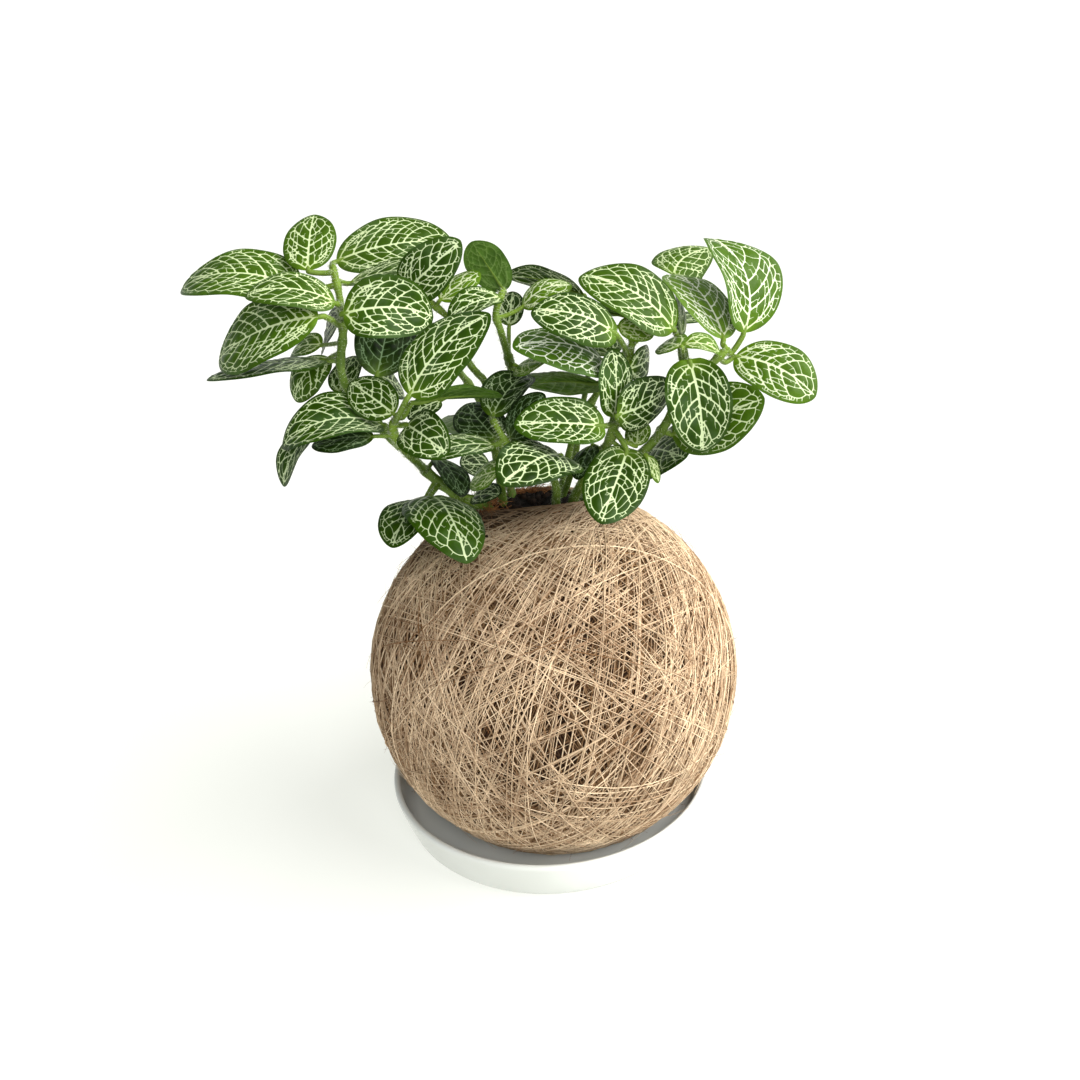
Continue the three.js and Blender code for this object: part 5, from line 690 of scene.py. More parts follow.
        # ladder rungs, spurs and small polygons between side veins
        last = np.stack([np.linspace(st[-1] + 0.25 * (tipx - st[-1]), tipx, 15), np.zeros(15)], 1)
        rows = paths + [last]
        for i in range(n):
            A, B = rows[i], rows[i + 1]
            ln = 0.5 * (np.linalg.norm(np.diff(A, axis=0), axis=1).sum() + np.linalg.norm(np.diff(B, axis=0), axis=1).sum())
            if ln < 1.6:
                continue
            at = lambda u, v: (1 - v) * np.array([np.interp(u * 14, np.arange(15), A[:, 0]), np.interp(u * 14, np.arange(15), A[:, 1])]) + v * np.array([np.interp(u * 14, np.arange(15), B[:, 0]), np.interp(u * 14, np.arange(15), B[:, 1])])
            u = rng.uniform(0.14, 0.24) + 0.9 / ln
            prev = None
            while u < 0.93:
                gap = np.linalg.norm(at(u, 0) - at(u, 1))
                full = rng.uniform() < np.interp(u, [0.1, 0.45, 0.7], [0.30, 0.62, 0.97]) or gap < 1.3
                j = rng.normal(0, 0.30 / ln, 4)
                sl = rng.normal(0, 0.5 / ln)
                if full:
                    va = rng.uniform(0.38, 0.62)
                    kink = at(np.clip(u + j[1], 0, 1), va)
                    p = [at(np.clip(u + sl, 0, 1), 0.0), kink, at(np.clip(u - sl, 0, 1), 1.0)]
                    put(np.array(p) * sid, hr, hr * 0.9, 2, 0.45)
                    if prev is not None and rng.uniform() < 0.30 and gap > 2.0:
                        put(np.array([prev, kink]) * sid, hr * 0.85, hr * 0.8, 2, 0.45)
                    elif gap > 2.2 and rng.uniform() < 0.3:
                        e = at(np.clip(u + 0.9 / ln * rng.choice([-1, 1]), 0, 1), va + rng.normal(0, 0.1))
                        put(np.array([kink, e]) * sid, hr * 0.75, hr * 0.3, 3, 0.4)
                    prev = kink
                else:
                    for v0, v1 in ((0.0, rng.uniform(0.25, 0.42)), (1.0, rng.uniform(0.60, 0.78))):
                        if rng.uniform() < 0.82:
                            us = np.clip(u + j[2 if v0 else 3] * 1.5, 0, 1)
                            e = at(np.clip(us + j[0], 0, 1), v1)
                            put(np.array([at(us, v0), e]) * sid, hr * 0.95, hr * 0.5, 3, 0.4)
                            if gap > 2.4 and rng.uniform() < 0.4:
                                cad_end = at(np.clip(us + j[0] + rng.choice([-1, 1]) * 0.7 / ln, 0, 1), v1 + (0.10 if v0 == 0 else -0.10))
                                put(np.array([e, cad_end]) * sid, hr * 0.55, hr * 0.25, 3, 0.4)
                    prev = None
                u += (0.105 * w + 1.30) * rng.uniform(0.75, 1.25) / ln
            g0 = np.linalg.norm(at(0.02, 0) - at(0.02, 1))
            if g0 > 3.0 and rng.uniform() < 0.5:      # a short vein from the midrib between two side veins
                e = at(rng.uniform(0.16, 0.30), rng.uniform(0.42, 0.58))
                put(np.array([at(0.0, 0.5), e]) * sid, hr * 1.05, hr * 0.5, 3, 0.45)
    return lines, O


def clip_inside(p, poly, pad):
    """True where a point is inside the outline by at least pad."""
    A, B = poly, np.roll(poly, -1, 0)
    d, _ = seg_dist(p, A, B)
    x, y = p[:, 0][:, None], p[:, 1][:, None]
    cross = ((A[:, 1][None] > y) != (B[:, 1][None] > y)) & (x < (B[:, 0] - A[:, 0])[None] * (y - A[:, 1][None]) / np.where(np.abs(B[:, 1] - A[:, 1]) < 1e-9, 1e-9, B[:, 1] - A[:, 1])[None] + A[:, 0][None])
    return (cross.sum(1) % 2 == 1) & (d.min(1) > pad)


def triangulate(rim, lines, spacing, rng, keep=0.36):
    """A triangle net of the blade whose edges follow the vein centre lines."""
    pts = [rim]
    edges = [(i, (i + 1) % len(rim)) for i in range(len(rim))]
    k = len(rim)
    for p, _, _ in lines:
        ok = clip_inside(p, rim, 0.12)
        run = []
        for q, good in zip(p, ok):
            if good:
                run.append(q)
            if (not good or q is p[-1]) and run:
                if len(run) > 1:
                    pts.append(np.array(run))
                    edges += [(k + i, k + i + 1) for i in range(len(run) - 1)]
                    k += len(run)
                run = []
        if len(run) > 1:
            pts.append(np.array(run))
            edges += [(k + i, k + i + 1) for i in range(len(run) - 1)]
            k += len(run)
    # a row of points on both sides of every vein keeps the colour's edge crisp, also in the corners
    A, B, wa, wb, _ = net_arrays(lines)
    d = B - A
    nn = unit(np.stack([-d[:, 1], d[:, 0]], 1))
    off = 0.5 * (wa + wb) + 0.15
    mid = 0.5 * (A + B)
    O = np.concatenate([mid + nn * off[:, None], mid - nn * off[:, None]])
    own = np.concatenate([off, off])
    O_ok = clip_inside(O, rim, 0.16)
    O, own = O[O_ok], own[O_ok]
    near = np.min(seg_dist(O, A, B)[0], axis=1)
    O = O[near > 0.72 * own]
    keepers = []
    cellmap = {}
    for q in O:
        key = (int(q[0] / 0.2), int(q[1] / 0.2))
        if any((key[0] + i, key[1] + j) in cellmap for i in (-1, 0, 1) for j in (-1, 0, 1)):
            continue
        cellmap[key] = 1
        keepers.append(q)
    if keepers:
        pts.append(np.array(keepers))
    lo, hi = rim.min(0), rim.max(0)
    gx = np.arange(lo[0], hi[0], spacing)
    gy = np.arange(lo[1], hi[1], spacing * 0.866)
    G = np.array([(x + (0.5 * spacing if j % 2 else 0), y) for j, y in enumerate(gy) for x in gx]) + rng.normal(0, spacing * 0.08, (len(gx) * len(gy), 2))
    G = G[clip_inside(G, rim, 0.45 * spacing)]
    have = np.concatenate(pts)
    d = np.full(len(G), 1e9)
    for i in range(0, len(have), 400):
        d = np.minimum(d, np.linalg.norm(G[:, None] - have[None, i:i + 400], axis=-1).min(1))
    G = G[d > max(keep, spacing * 0.42)]
    allp = np.concatenate(pts + [G])
    v, _, f, ov, _, _ = delaunay_2d_cdt([Vector(p) for p in allp], edges, [], 1, 1e-4, True)
    v = np.array([tuple(q) for q in v])
    f = np.array([t for t in f if len(t) == 3])
    rim_id = {}
    for new, olds in enumerate(ov):
        for o in olds:
            if o < len(rim):
                rim_id[o] = new
    area = 0.5 * ((v[f[:, 1]] - v[f[:, 0]])[:, 0] * (v[f[:, 2]] - v[f[:, 0]])[:, 1] - (v[f[:, 1]] - v[f[:, 0]])[:, 1] * (v[f[:, 2]] - v[f[:, 0]])[:, 0])
    f = np.where((area < 0)[:, None], f[:, [0, 2, 1]], f)
    return v, f, np.array([rim_id[i] for i in range(len(rim))])


def net_arrays(lines):
    A = np.concatenate([p[:-1] for p, _, _ in lines])
    B = np.concatenate([p[1:] for p, _, _ in lines])
    wa = np.concatenate([h[:-1] for _, h, _ in lines])
    wb = np.concatenate([h[1:] for _, h, _ in lines])
    o = np.concatenate([np.full(len(p) - 1, k) for p, _, k in lines])
    return A, B, wa, wb, o


def make_leaf(row, index):
    (piece, node, stem, B0, a, nrm, L, r, arch, cup, c, sweep, lobe, pr, pc, S, tone, yellow, vw) = row
    rng = np.random.default_rng(1000 + index)
    a = unit(a)
    nrm = unit(np.asarray(nrm) - a * np.dot(nrm, a))
    b = np.cross(nrm, a)
    w = r * L
    lines, O = leaf_net(L, w, c, lobe, rng, vw)
    ph1, ph2 = rng.uniform(0, 6.28, 2)

    def surf(x, y):
        tt = np.clip(x / L, 0, 1)
        zc = cup * w * (y / w) ** 2
        yy = y + sweep * L * 4 * tt * (1 - tt)
        # slow waves of the blade and of its edge
        ed = np.clip(np.abs(y) / w, 0, 1.1)
        zc = zc + 0.020 * w * np.sin(x / L * 6.3 + ph1) * ed * np.sign(y + 1e-9) + 0.028 * w * np.sin(x / L * 11.5 + ph2 + y / w) * ed ** 2
        if abs(arch) > 1e-4:
            k = arch / L
            ph = arch / 2 - k * x
            X, Z = (np.sin(arch / 2) - np.sin(ph)) / k, (np.cos(ph) - np.cos(arch / 2)) / k
        else:
            ph, X, Z = np.zeros_like(x), x, np.zeros_like(x)
        return np.stack([X - np.sin(ph) * zc, yy, Z + np.cos(ph) * zc], -1)

    def normal(x, y):
        p = surf(x, y)
        return unit(np.cross(surf(x + 0.02, y) - p, surf(x, y + 0.02) - p))

    def world(q):
        return np.asarray(B0) + q[:, :1] * a + q[:, 1:2] * b + q[:, 2:3] * nrm

    up = resample(O, 0.62)
    rim = np.concatenate([up, (up * [1, -1])[::-1][1:-1]])
    rim = rim[::-1]
    spacing = 0.90 if L > 22 else 0.80
    main = [l for l in lines if l[2] < 2]
    coarse = [(resample(p, 1.1), np.linspace(h[0], h[-1], len(resample(p, 1.1))), o) for p, h, o in main]
    down_seen = node in UNDERSIDE_SEEN
    A, B, wa, wb, order = net_arrays(lines)
    bag = Bag()
    ymin, ymax, xmin = rim[:, 1].min(), rim[:, 1].max(), rim[:, 0].min()
    rims = None
    for side in (0, 1):
        fine = side == 0 or down_seen
        v, f, ids = triangulate(rim, lines if fine else coarse, spacing if fine else 1.7, rng)
        dist, t = seg_dist(v, A, B)
        hw = wa[None] * (1 - t) + wb[None] * t
        vein = (hw - dist).max(1)
        d_any = np.clip(-vein, 0, 9)
        big = order < 2
        d_big = np.clip((dist - hw)[:, big].min(1), 0, 9)
        edge = seg_dist(v, rim, np.roll(rim, -1, 0))[0].min(1)
        fade = np.clip(edge / 1.1, 0, 1)
        fade = fade * fade * (3 - 2 * fade)
        relief = (0.20 * (1 - np.exp(-(d_any / 0.42) ** 1.3)) + 0.24 * (1 - np.exp(-(d_big / 1.1) ** 1.5))) * fade
        mid = np.exp(-(v[:, 1] / (0.10 * w + 0.25)) ** 2) * np.clip(1 - v[:, 0] / L, 0, 1)
        q, nn = surf(v[:, 0], v[:, 1]), normal(v[:, 0], v[:, 1])
        th = 0.16 * fade
        if side == 0:
            h = th + relief - 0.20 * mid * fade
        else:
            h = -th + relief * 0.85 - 0.20 * mid * fade - 0.10 * fade * np.clip(vein / 0.25 + 0.2, 0, 1)
        P = world(q + nn * h[:, None])
        f2 = f if side == 0 else f[:, [0, 2, 1]]
        sx, sy = 0.98 / (L - xmin), 0.42 / (ymax - ymin)
        uv = np.stack([0.01 + (v[:, 0] - xmin) * sx, (0.01 if side == 0 else 0.45) + (v[:, 1] - ymin) * sy], 1)[f2].reshape(-1, 2)
        if side == 0:
            rims = ids
            top_n = len(P)
            base_end = np.clip(1 - v[:, 0] / (0.30 * L), 0, 1) ** 2
            bag.add(P, f2, uv, 0, vein=vein, depth=np.clip(d_any / 0.8, 0, 1), tone=tone + 0 * vein, yellow=np.clip(yellow + 0.55 * base_end * (0.25 + 0.75 * np.exp(-(v[:, 1] / (0.35 * w)) ** 2)), 0, 1))
        else:
            # the underside shares the top's rim
            remap = np.arange(len(P)) + top_n
            remap[ids] = rims
            used = np.setdiff1d(np.arange(len(P)), ids)
            new = np.full(len(P), -1)
            new[used] = np.arange(len(used)) + top_n
            new[ids] = rims
            bag.v.append(P[used])
            bag.t.append(new[f2])
            bag.uv.append(uv)
            bag.m.append(np.full(len(f2), 1, np.int32))
            vals = {"vein": vein[used], "depth": np.clip(d_any / 0.8, 0, 1)[used], "tone": np.full(len(used), tone), "yellow": np.full(len(used), yellow)}
            for kk, vv in vals.items():
                bag.f[kk].append(vv)
            bag.n += len(used)
    # petiole, running on under the blade as the midrib's ridge
    raw = bezier(pc, 9)
    foot = np.asarray(S, float)
    mx = np.array([0.10, 0.22, 0.36, 0.50, 0.64, 0.78]) * L
    rr = pr * np.array([0.78, 0.60, 0.45, 0.34, 0.25, 0.15])
    q, nn = surf(mx, 0 * mx), normal(mx, 0 * mx)
    rib = world(q + nn * (-0.16 - rr * 0.95)[:, None])
    ends = raw if np.linalg.norm(raw[-1] - foot) < 0.05 else np.concatenate([raw, [foot]])
    path = catmull(np.concatenate([rib[::-1], ends[1:]]), 1.0)
    s = np.concatenate([[0], np.cumsum(np.linalg.norm(np.diff(path, axis=0), axis=1))])
    ribs = np.linalg.norm(np.diff(rib, axis=0), axis=1).sum()
    kx = [0, ribs * 0.5, ribs, ribs + 0.12 * L, ribs + 0.2 * L, max(s[-1] - 1.2, ribs + 0.25 * L), max(s[-1], ribs + 0.3 * L)]
    rad = np.interp(s, kx, [0.12 * pr, 0.34 * pr, 0.72 * pr, 0.92 * pr, 0.95 * pr, 1.0 * pr, 1.30 * pr])
    v, t, uv, _ = tube(path, rad, 8, (0.01, 0.90, 0.99, 0.985))
    bag.add(v, t, uv, 2, yellow=np.clip(0.25 + yellow, 0, 1))
    ob = bag.build(piece, [LEAF, LEAF if node in PALE_UNDER else UNDER, STEM], sharp=rims)
    if node:
        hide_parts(node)
    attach(ob, "root")
    # where hairs can grow: the petiole's visible part
    pet = path[s > ribs + 0.1 * L]
    return ob, (pet, pr)


UNDERSIDE_SEEN = {"leaf_left_17", "leaf_middle_3", "leaf_back_middle_1", "leaf_centre_7"}
PALE_UNDER = {"leaf_back_middle_1"}        # undersides that show the same net as the top
petioles = {}
faces = 0
for index, row in enumerate(LEAVES):
    ob, pet = make_leaf(row, index)
    faces += len(ob.data.polygons)
    petioles.setdefault(row[2], []).append((pet, row[15]))
print("leaf faces", faces)


# ---------------------------------------------------------------- stems
for si, (shoot, names) in enumerate(SHOOTS.items()):
    rng = np.random.default_rng(500 + si)
    bag = Bag()
    roots, dirs, lens = [], [], []
    for k, name in enumerate(names):
        r0, pts = STEMS[name]
        pts = np.array(pts, float)
        if name in ROOTED:
            pts = np.concatenate([[[pts[0][0], pts[0][1], 97.0]], pts])
        p = catmull(pts, 0.8)
        s = np.concatenate([[0], np.cumsum(np.linalg.norm(np.diff(p, axis=0), axis=1))])
        rad = r0 * (1 - 0.42 * s / s[-1])
        nodes = []
        for _, foot in petioles.get(name, []):
            j = int(np.argmin(np.linalg.norm(p - np.asarray(foot), axis=1)))
            nodes.append(s[j])
        merged = []
        for x in sorted(nodes):
            if not merged or x - merged[-1] > 2.5:
                merged.append(x)
        for x in merged:
            rad = rad + r0 * 0.22 * np.exp(-((s - x) / 1.5) ** 2)
        rad = rad * (1 + 0.03 * np.sin(s * 1.7 + rng.uniform(0, 6)))
        rad[-3:] = rad[-3:] * [0.95, 0.8, 0.5]
        n = len(names)
        v, t, uv, st = tube(p, rad, 12, (0.01, 0.01 + 0.45 * k, 0.99, 0.01 + 0.45 * k + 0.42))
        bag.add(v, t, uv, 0, yellow=np.clip((st - 0.72) * 2.6, 0, 0.9))
        tt, u, w = frames(p)
        cnt = int(s[-1] * 2 * np.pi * r0 * (1.5))
        j = rng.integers(2 if name in ROOTED else 0, len(p), cnt)
        # more hair towards the young end
        j = np.where(rng.uniform(size=cnt) < 0.35, (len(p) - 1 - (len(p) * 0.3 * rng.uniform(size=cnt) ** 2)).astype(int), j)
        an = rng.uniform(0, 2 * np.pi, cnt)
        d = np.cos(an)[:, None] * u[j] + np.sin(an)[:, None] * w[j]
        roots.append(p[j] + d * rad[j][:, None])
        dirs.append(unit(d + 0.35 * rng.normal(size=(cnt, 3)) + 0.2 * tt[j]))
        lens.append(rng.uniform(0.55, 1.35, cnt))
        for (pet, pr), _ in petioles.get(name, []):
            if len(pet) < 3:
                continue
            tt, u, w = frames(pet)
            cnt = int(np.linalg.norm(np.diff(pet, axis=0), axis=1).sum() * 2 * np.pi * pr * (1.3))
            if cnt < 1:
                continue
            j = rng.integers(0, len(pet), cnt)
            an = rng.uniform(0, 2 * np.pi, cnt)
            d = np.cos(an)[:, None] * u[j] + np.sin(an)[:, None] * w[j]
            roots.append(pet[j] + d * pr * 0.93)
            dirs.append(unit(d + 0.35 * rng.normal(size=(cnt, 3))))
            lens.append(rng.uniform(0.4, 1.0, cnt))
    ob = bag.build(shoot + "_stem", [STEM])
    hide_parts(shoot)
    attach(ob, "root")
    v, t, uv = hairs(np.concatenate(roots), np.concatenate(dirs), np.concatenate(lens), 0.045, rng)
    hb = Bag()
    hb.add(v, t, uv, 0)
    hob = hb.build(shoot + "_hairs", [HAIR])
    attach(hob, "root")
    faces += len(ob.data.polygons) + len(hob.data.polygons)
print("with stems", faces)


# ---------------------------------------------------------------- the ball
def in_mouth(p, grow=0.0):
    e = ((p[..., :2] - MOUTH_C) / (MOUTH_R + grow))
    return np.where(p[..., 2] > 80, np.sqrt((e ** 2).sum(-1)), 9.0)


def wind(count, steps, depth, rng):
    """Closed turns of thread round the ball, clear of the mouth."""
    m = unit(np.array([MOUTH_C[0] - BALL_C[0], MOUTH_C[1], 57.0]))
    e1 = unit(np.cross(m, [0, 1.0, 0]))
    e2 = np.cross(m, e1)
    P, tones, mouth_shade = [], [], []
    band, left = None, 0
    while len(P) < count:
        if left <= 0:              # a new band: the next few turns run nearly side by side
            kind = rng.uniform()
            cz = rng.uniform(0.18, 0.42) if kind < 0.74 else (rng.uniform(0.42, 0.68) if kind < 0.92 else rng.uniform(0.68, 0.96))
            az = rng.uniform(0, 2 * np.pi)
            sn = -1.0 if rng.uniform() < 0.60 else 1.0
            nv = math.sqrt(1 - cz * cz) * (math.cos(az) * e1 + math.sin(az) * e2)
            nv = nv * (1.0 if nv[0] > 0 else -1.0) + sn * cz * m
            size = 1 if rng.uniform() < 0.55 else int(rng.integers(9, 17))
            slots = list((rng.permutation(size) + 0.5) / size * 2 - 1)
            band = (unit(nv), rng.normal(0, 0.045) * BALL_R, rng.normal(0, 0.30, 4), rng.uniform(0, 6.28, 4), rng.normal(size=3), rng.uniform(12, 20) if size > 1 else rng.uniform(2, 24))
            left = size
        left -= 1
        nv = unit(band[0] + rng.normal(0, 0.045, 3))
        shift = band[1] + band[5] * (slots[left] + rng.normal(0, 0.5 / max(size, 3)))
        u = unit(np.cross(nv, band[4]))
        w = np.cross(nv, u)
        t = np.linspace(0, 2 * np.pi, steps, endpoint=False)[:, None] + rng.uniform(0, 0.1)
        R = BALL_R - rng.uniform(depth[0], depth[1]) - THREAD_R
        rr = math.sqrt(max(1.0, R * R - shift * shift))
        wob = sum(band[2][k] / (k + 1) * np.sin((k + 1) * t + band[3][k] + rng.normal(0, 0.25)) for k in range(4))
        p = rr * (np.cos(t) * u + np.sin(t) * w) + (shift + wob) * nv
        p = unit(p) * (R + 0.16 * np.sin(5 * t + rng.uniform(0, 6)) + 0.10 * np.sin(13 * t + rng.uniform(0, 6)))
        p = p + BALL_C
        e = in_mouth(p)
        if e.min() < 0.62:
            continue
        lim = 1.01 + 0.05 * rng.uniform()
        bad = e < lim
        if bad.any():
            q = p[bad]
            dxy = (q[:, :2] - MOUTH_C) / MOUTH_R
            s = np.linalg.norm(dxy, axis=1, keepdims=True)
            q[:, :2] = MOUTH_C + dxy / s * lim * MOUTH_R
            rho = np.linalg.norm(q[:, :2] - BALL_C[:2], axis=1)
            q[:, 2] = BALL_C[2] + np.sqrt(np.maximum(1, R * R - rho ** 2))
            p[bad] = q
        p[:, 2] = np.maximum(p[:, 2], BALL_FOOT + THREAD_R + (BALL_R - R) * 0.6)
        P.append(p)
        tones.append(np.full(steps, np.clip(rng.normal(0.48, 0.32), 0, 1)))
        # painted shade: thread near the mouth is made darker, most at its left, the side away from the light, standing
        # for the shade under the leaves and in the mouth
        mouth_shade.append(np.interp(in_mouth(p), [1.0, 1.6, 2.7], [1.0, 0.75, 0.0]) * np.clip(0.92 - (p[:, 0] - MOUTH_C[0]) / 36, 0.15, 1.0))
    return np.array(P), np.array(tones), np.array(mouth_shade)


turns = 0
# the lower layers take the darker copies of the jute: painted shade between the turns
for li, (count, depth, mat) in enumerate([(330, (1.1, 1.8), THREAD_DEEP_SHADED), (430, (0.5, 1.3), THREAD_MID_SHADED), (480, (0.0, 0.7), THREAD)]):
    rng = np.random.default_rng((70, 79, 102)[li])
    steps = 54
    P, tones, mouth_shade = wind(count, steps, depth, rng)
    R = np.full(P.shape[:2], THREAD_R) * (1 + 0.22 * rng.normal(size=(len(P), 1)).clip(-1.6, 1.8))
    V, T, UV = many_tubes(P, R, 3, closed=True)
    bag = Bag()
    bag.add(V, T, UV, 0, tone=np.repeat(tones.reshape(-1), 3), yellow=np.repeat(mouth_shade.reshape(-1), 3))
    ob = bag.build(f"thread_layer_{li + 1}", [mat])
    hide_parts("thread_winding")
    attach(ob, "root")
    faces += len(T)
    turns += len(P)
print("with threads", faces, "turns", turns)


def ball_points(n, rng, R):
    p = unit(rng.normal(size=(n * 3, 3))) * R + BALL_C
    p = p[(p[:, 2] > BALL_FOOT + 2) & (in_mouth(p) > 1.04)]
    return p[:n]


def loose(name, n, R, length, radius, tilt, rng, mat, node, steps=5, tone=(0.5, 0.3)):
    """Short curved fibres that lie on or stand out of the ball."""
    p = ball_points(n, rng, R)
    n = len(p)
    nr = unit(p - BALL_C)
    t = unit(np.cross(nr, rng.normal(size=(n, 3))))
    side = np.cross(nr, t)
    L = rng.uniform(*length, n)[:, None]
    up = rng.uniform(*tilt, n)[:, None]
    bend = rng.normal(0, 0.35, n)[:, None]
    s = np.linspace(0, 1, steps)[None, :, None]
    q = p[:, None] + t[:, None] * (L * np.cos(up))[:, None] * s + nr[:, None] * (L[:, None] * (np.sin(up)[:, None] * s - (L[:, None] * s ** 2) / (2 * R) * np.cos(up)[:, None] ** 2)) \
        + side[:, None] * (L * bend)[:, None] * s ** 2
    q[..., 2] = np.maximum(q[..., 2], BALL_FOOT + 0.4)
    rad = radius * rng.uniform(0.7, 1.3, (n, 1)) * np.linspace(1, 0.35, steps)[None]
    V, T, UV = many_tubes(q, rad, 3)
    bag = Bag()
    bag.add(V, T, UV, 0, tone=np.repeat(np.clip(rng.normal(*tone, n), 0, 1), steps * 3))
    ob = bag.build(name, [mat])
    if node:
        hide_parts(node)
    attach(ob, "root")
    return len(T)


rng = np.random.default_rng(9)
faces += loose("thread_ends", 260, BALL_R - 0.2, (3.0, 9.0), 0.10, (0.03, 0.40), rng, THREAD, None)
faces += loose("coir_fibres_deep", 1500, BALL_R - WINDING_T - 0.1, (5.0, 13.0), 0.16, (-0.02, 0.10), rng, FIBRE, "coir_layer", 5, (0.35, 0.25))
faces += loose("coir_fibres_proud", 320, BALL_R - 1.2, (2.0, 5.5), 0.07, (0.15, 1.0), rng, FIBRE, None)


def shell_of_ball():
    """The coir mat under the thread: a closed, lumpy shell, open at the mouth."""
    rng = np.random.default_rng(31)
    nu, nv = 160, 90
    ph = np.linspace(0, 2 * np.pi, nu, endpoint=False)
    bag = Bag()
    # rows run from the mouth's rim down to the flat underside
    waves = [(rng.normal(size=3) * k, rng.uniform(0, 6.28), a) for k, a in ((0.25, 0.35), (0.5, 0.28), (0.9, 0.22), (1.6, 0.16)) for _ in range(5)]

    def lump(p):
        return sum(a * np.sin(p @ k + q) for k, q, a in waves) * 0.45

    def rows(R, flat, grow):
        rim = np.stack([MOUTH_C[0] + (MOUTH_R[0] + grow) * np.cos(ph), MOUTH_C[1] + (MOUTH_R[1] + grow) * np.sin(ph)], 1)
        rho = np.linalg.norm(rim - BALL_C[:2], axis=1)
        top = np.stack([rim[:, 0], rim[:, 1], BALL_C[2] + np.sqrt(R * R - rho ** 2)], 1)
        d0 = unit(top - BALL_C)
        low = np.arccos(np.clip((flat - BALL_C[2]) / R, -1, 1))
        d1 = np.stack([np.sin(low) * np.cos(ph), np.sin(low) * np.sin(ph), np.full(nu, np.cos(low))], 1)
        out = []
        for i in range(nv):
            f = i / (nv - 1)
            om = np.arccos(np.clip((d0 * d1).sum(1), -1, 1))[:, None]
            out.append((np.sin((1 - f) * om) * d0 + np.sin(f * om) * d1) / np.sin(om) * R + BALL_C)
        return np.array(out)

    outer, inner = rows(BALL_R - WINDING_T - 0.35, BALL_FOOT + WINDING_T + 0.5, 0.3), rows(BALL_R - WINDING_T - 5.2, BALL_FOOT + WINDING_T + 4.5, -0.2)
    o = outer + unit(outer - BALL_C) * (lump(outer) * 0.8)[..., None]
    o[..., 2] = np.maximum(o[..., 2], BALL_FOOT + WINDING_T + 0.3)
    V = np.concatenate([o.reshape(-1, 3), inner.reshape(-1, 3), [[BALL_C[0], BALL_C[1], BALL_FOOT + WINDING_T + 0.3]], [[BALL_C[0], BALL_C[1], BALL_FOOT + WINDING_T + 4.5]]])
    tr, uv = [], []
    H = nu * nv
    for half in (0, 1):
        i, k = (q.ravel() for q in np.meshgrid(np.arange(nv - 1), np.arange(nu), indexing="ij"))
        k2 = (k + 1) % nu
        a, b_, c, d = half * H + i * nu + k, half * H + i * nu + k2, half * H + (i + 1) * nu + k2, half * H + (i + 1) * nu + k
        U = lambda kk, ii: np.stack([0.01 + 0.98 * kk / nu, (0.01 + 0.46 * ii / (nv - 1)) + 0.5 * half], 1)
        A, B, C, D = U(k, i), U(k + 1, i), U(k + 1, i + 1), U(k, i + 1)
        if half == 0:
            tr += [np.stack([a, c, b_], 1), np.stack([a, d, c], 1)]
            uv += [np.stack([A, C, B], 1), np.stack([A, D, C], 1)]
        else:
            tr += [np.stack([a, b_, c], 1), np.stack([a, c, d], 1)]
            uv += [np.stack([A, B, C], 1), np.stack([A, C, D], 1)]
    kk = np.arange(nu)
    k2 = (kk + 1) % nu
    # rim between outer and inner, and the two flat floors
    tr += [np.stack([kk, k2, H + k2], 1), np.stack([kk, H + k2, H + kk], 1)]
    R0 = lambda q, y: np.stack([0.01 + 0.98 * q / nu, np.full(nu, y)], 1)
    uv += [np.stack([R0(kk, 0.475), R0(kk + 1, 0.475), R0(kk + 1, 0.485)], 1), np.stack([R0(kk, 0.475), R0(kk + 1, 0.485), R0(kk, 0.485)], 1)]
    l0, l1 = (nv - 1) * nu, H + (nv - 1) * nu
    tr += [np.stack([l0 + kk, np.full(nu, 2 * H), l0 + k2], 1), np.stack([l1 + kk, l1 + k2, np.full(nu, 2 * H + 1)], 1)]
    uv += [np.stack([R0(kk, 0.488), R0(kk + 0.5, 0.496), R0(kk + 1, 0.488)], 1), np.stack([R0(kk, 0.975), R0(kk + 1, 0.975), R0(kk + 0.5, 0.99)], 1)]
    bag.add(V, np.concatenate(tr), np.concatenate(uv).reshape(-1, 2), 0)
    ob = bag.build("coir_mat", [MAT_COIR])
    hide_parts("coir_layer")
    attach(ob, "root")
    return len(ob.data.polygons)


faces += shell_of_ball()


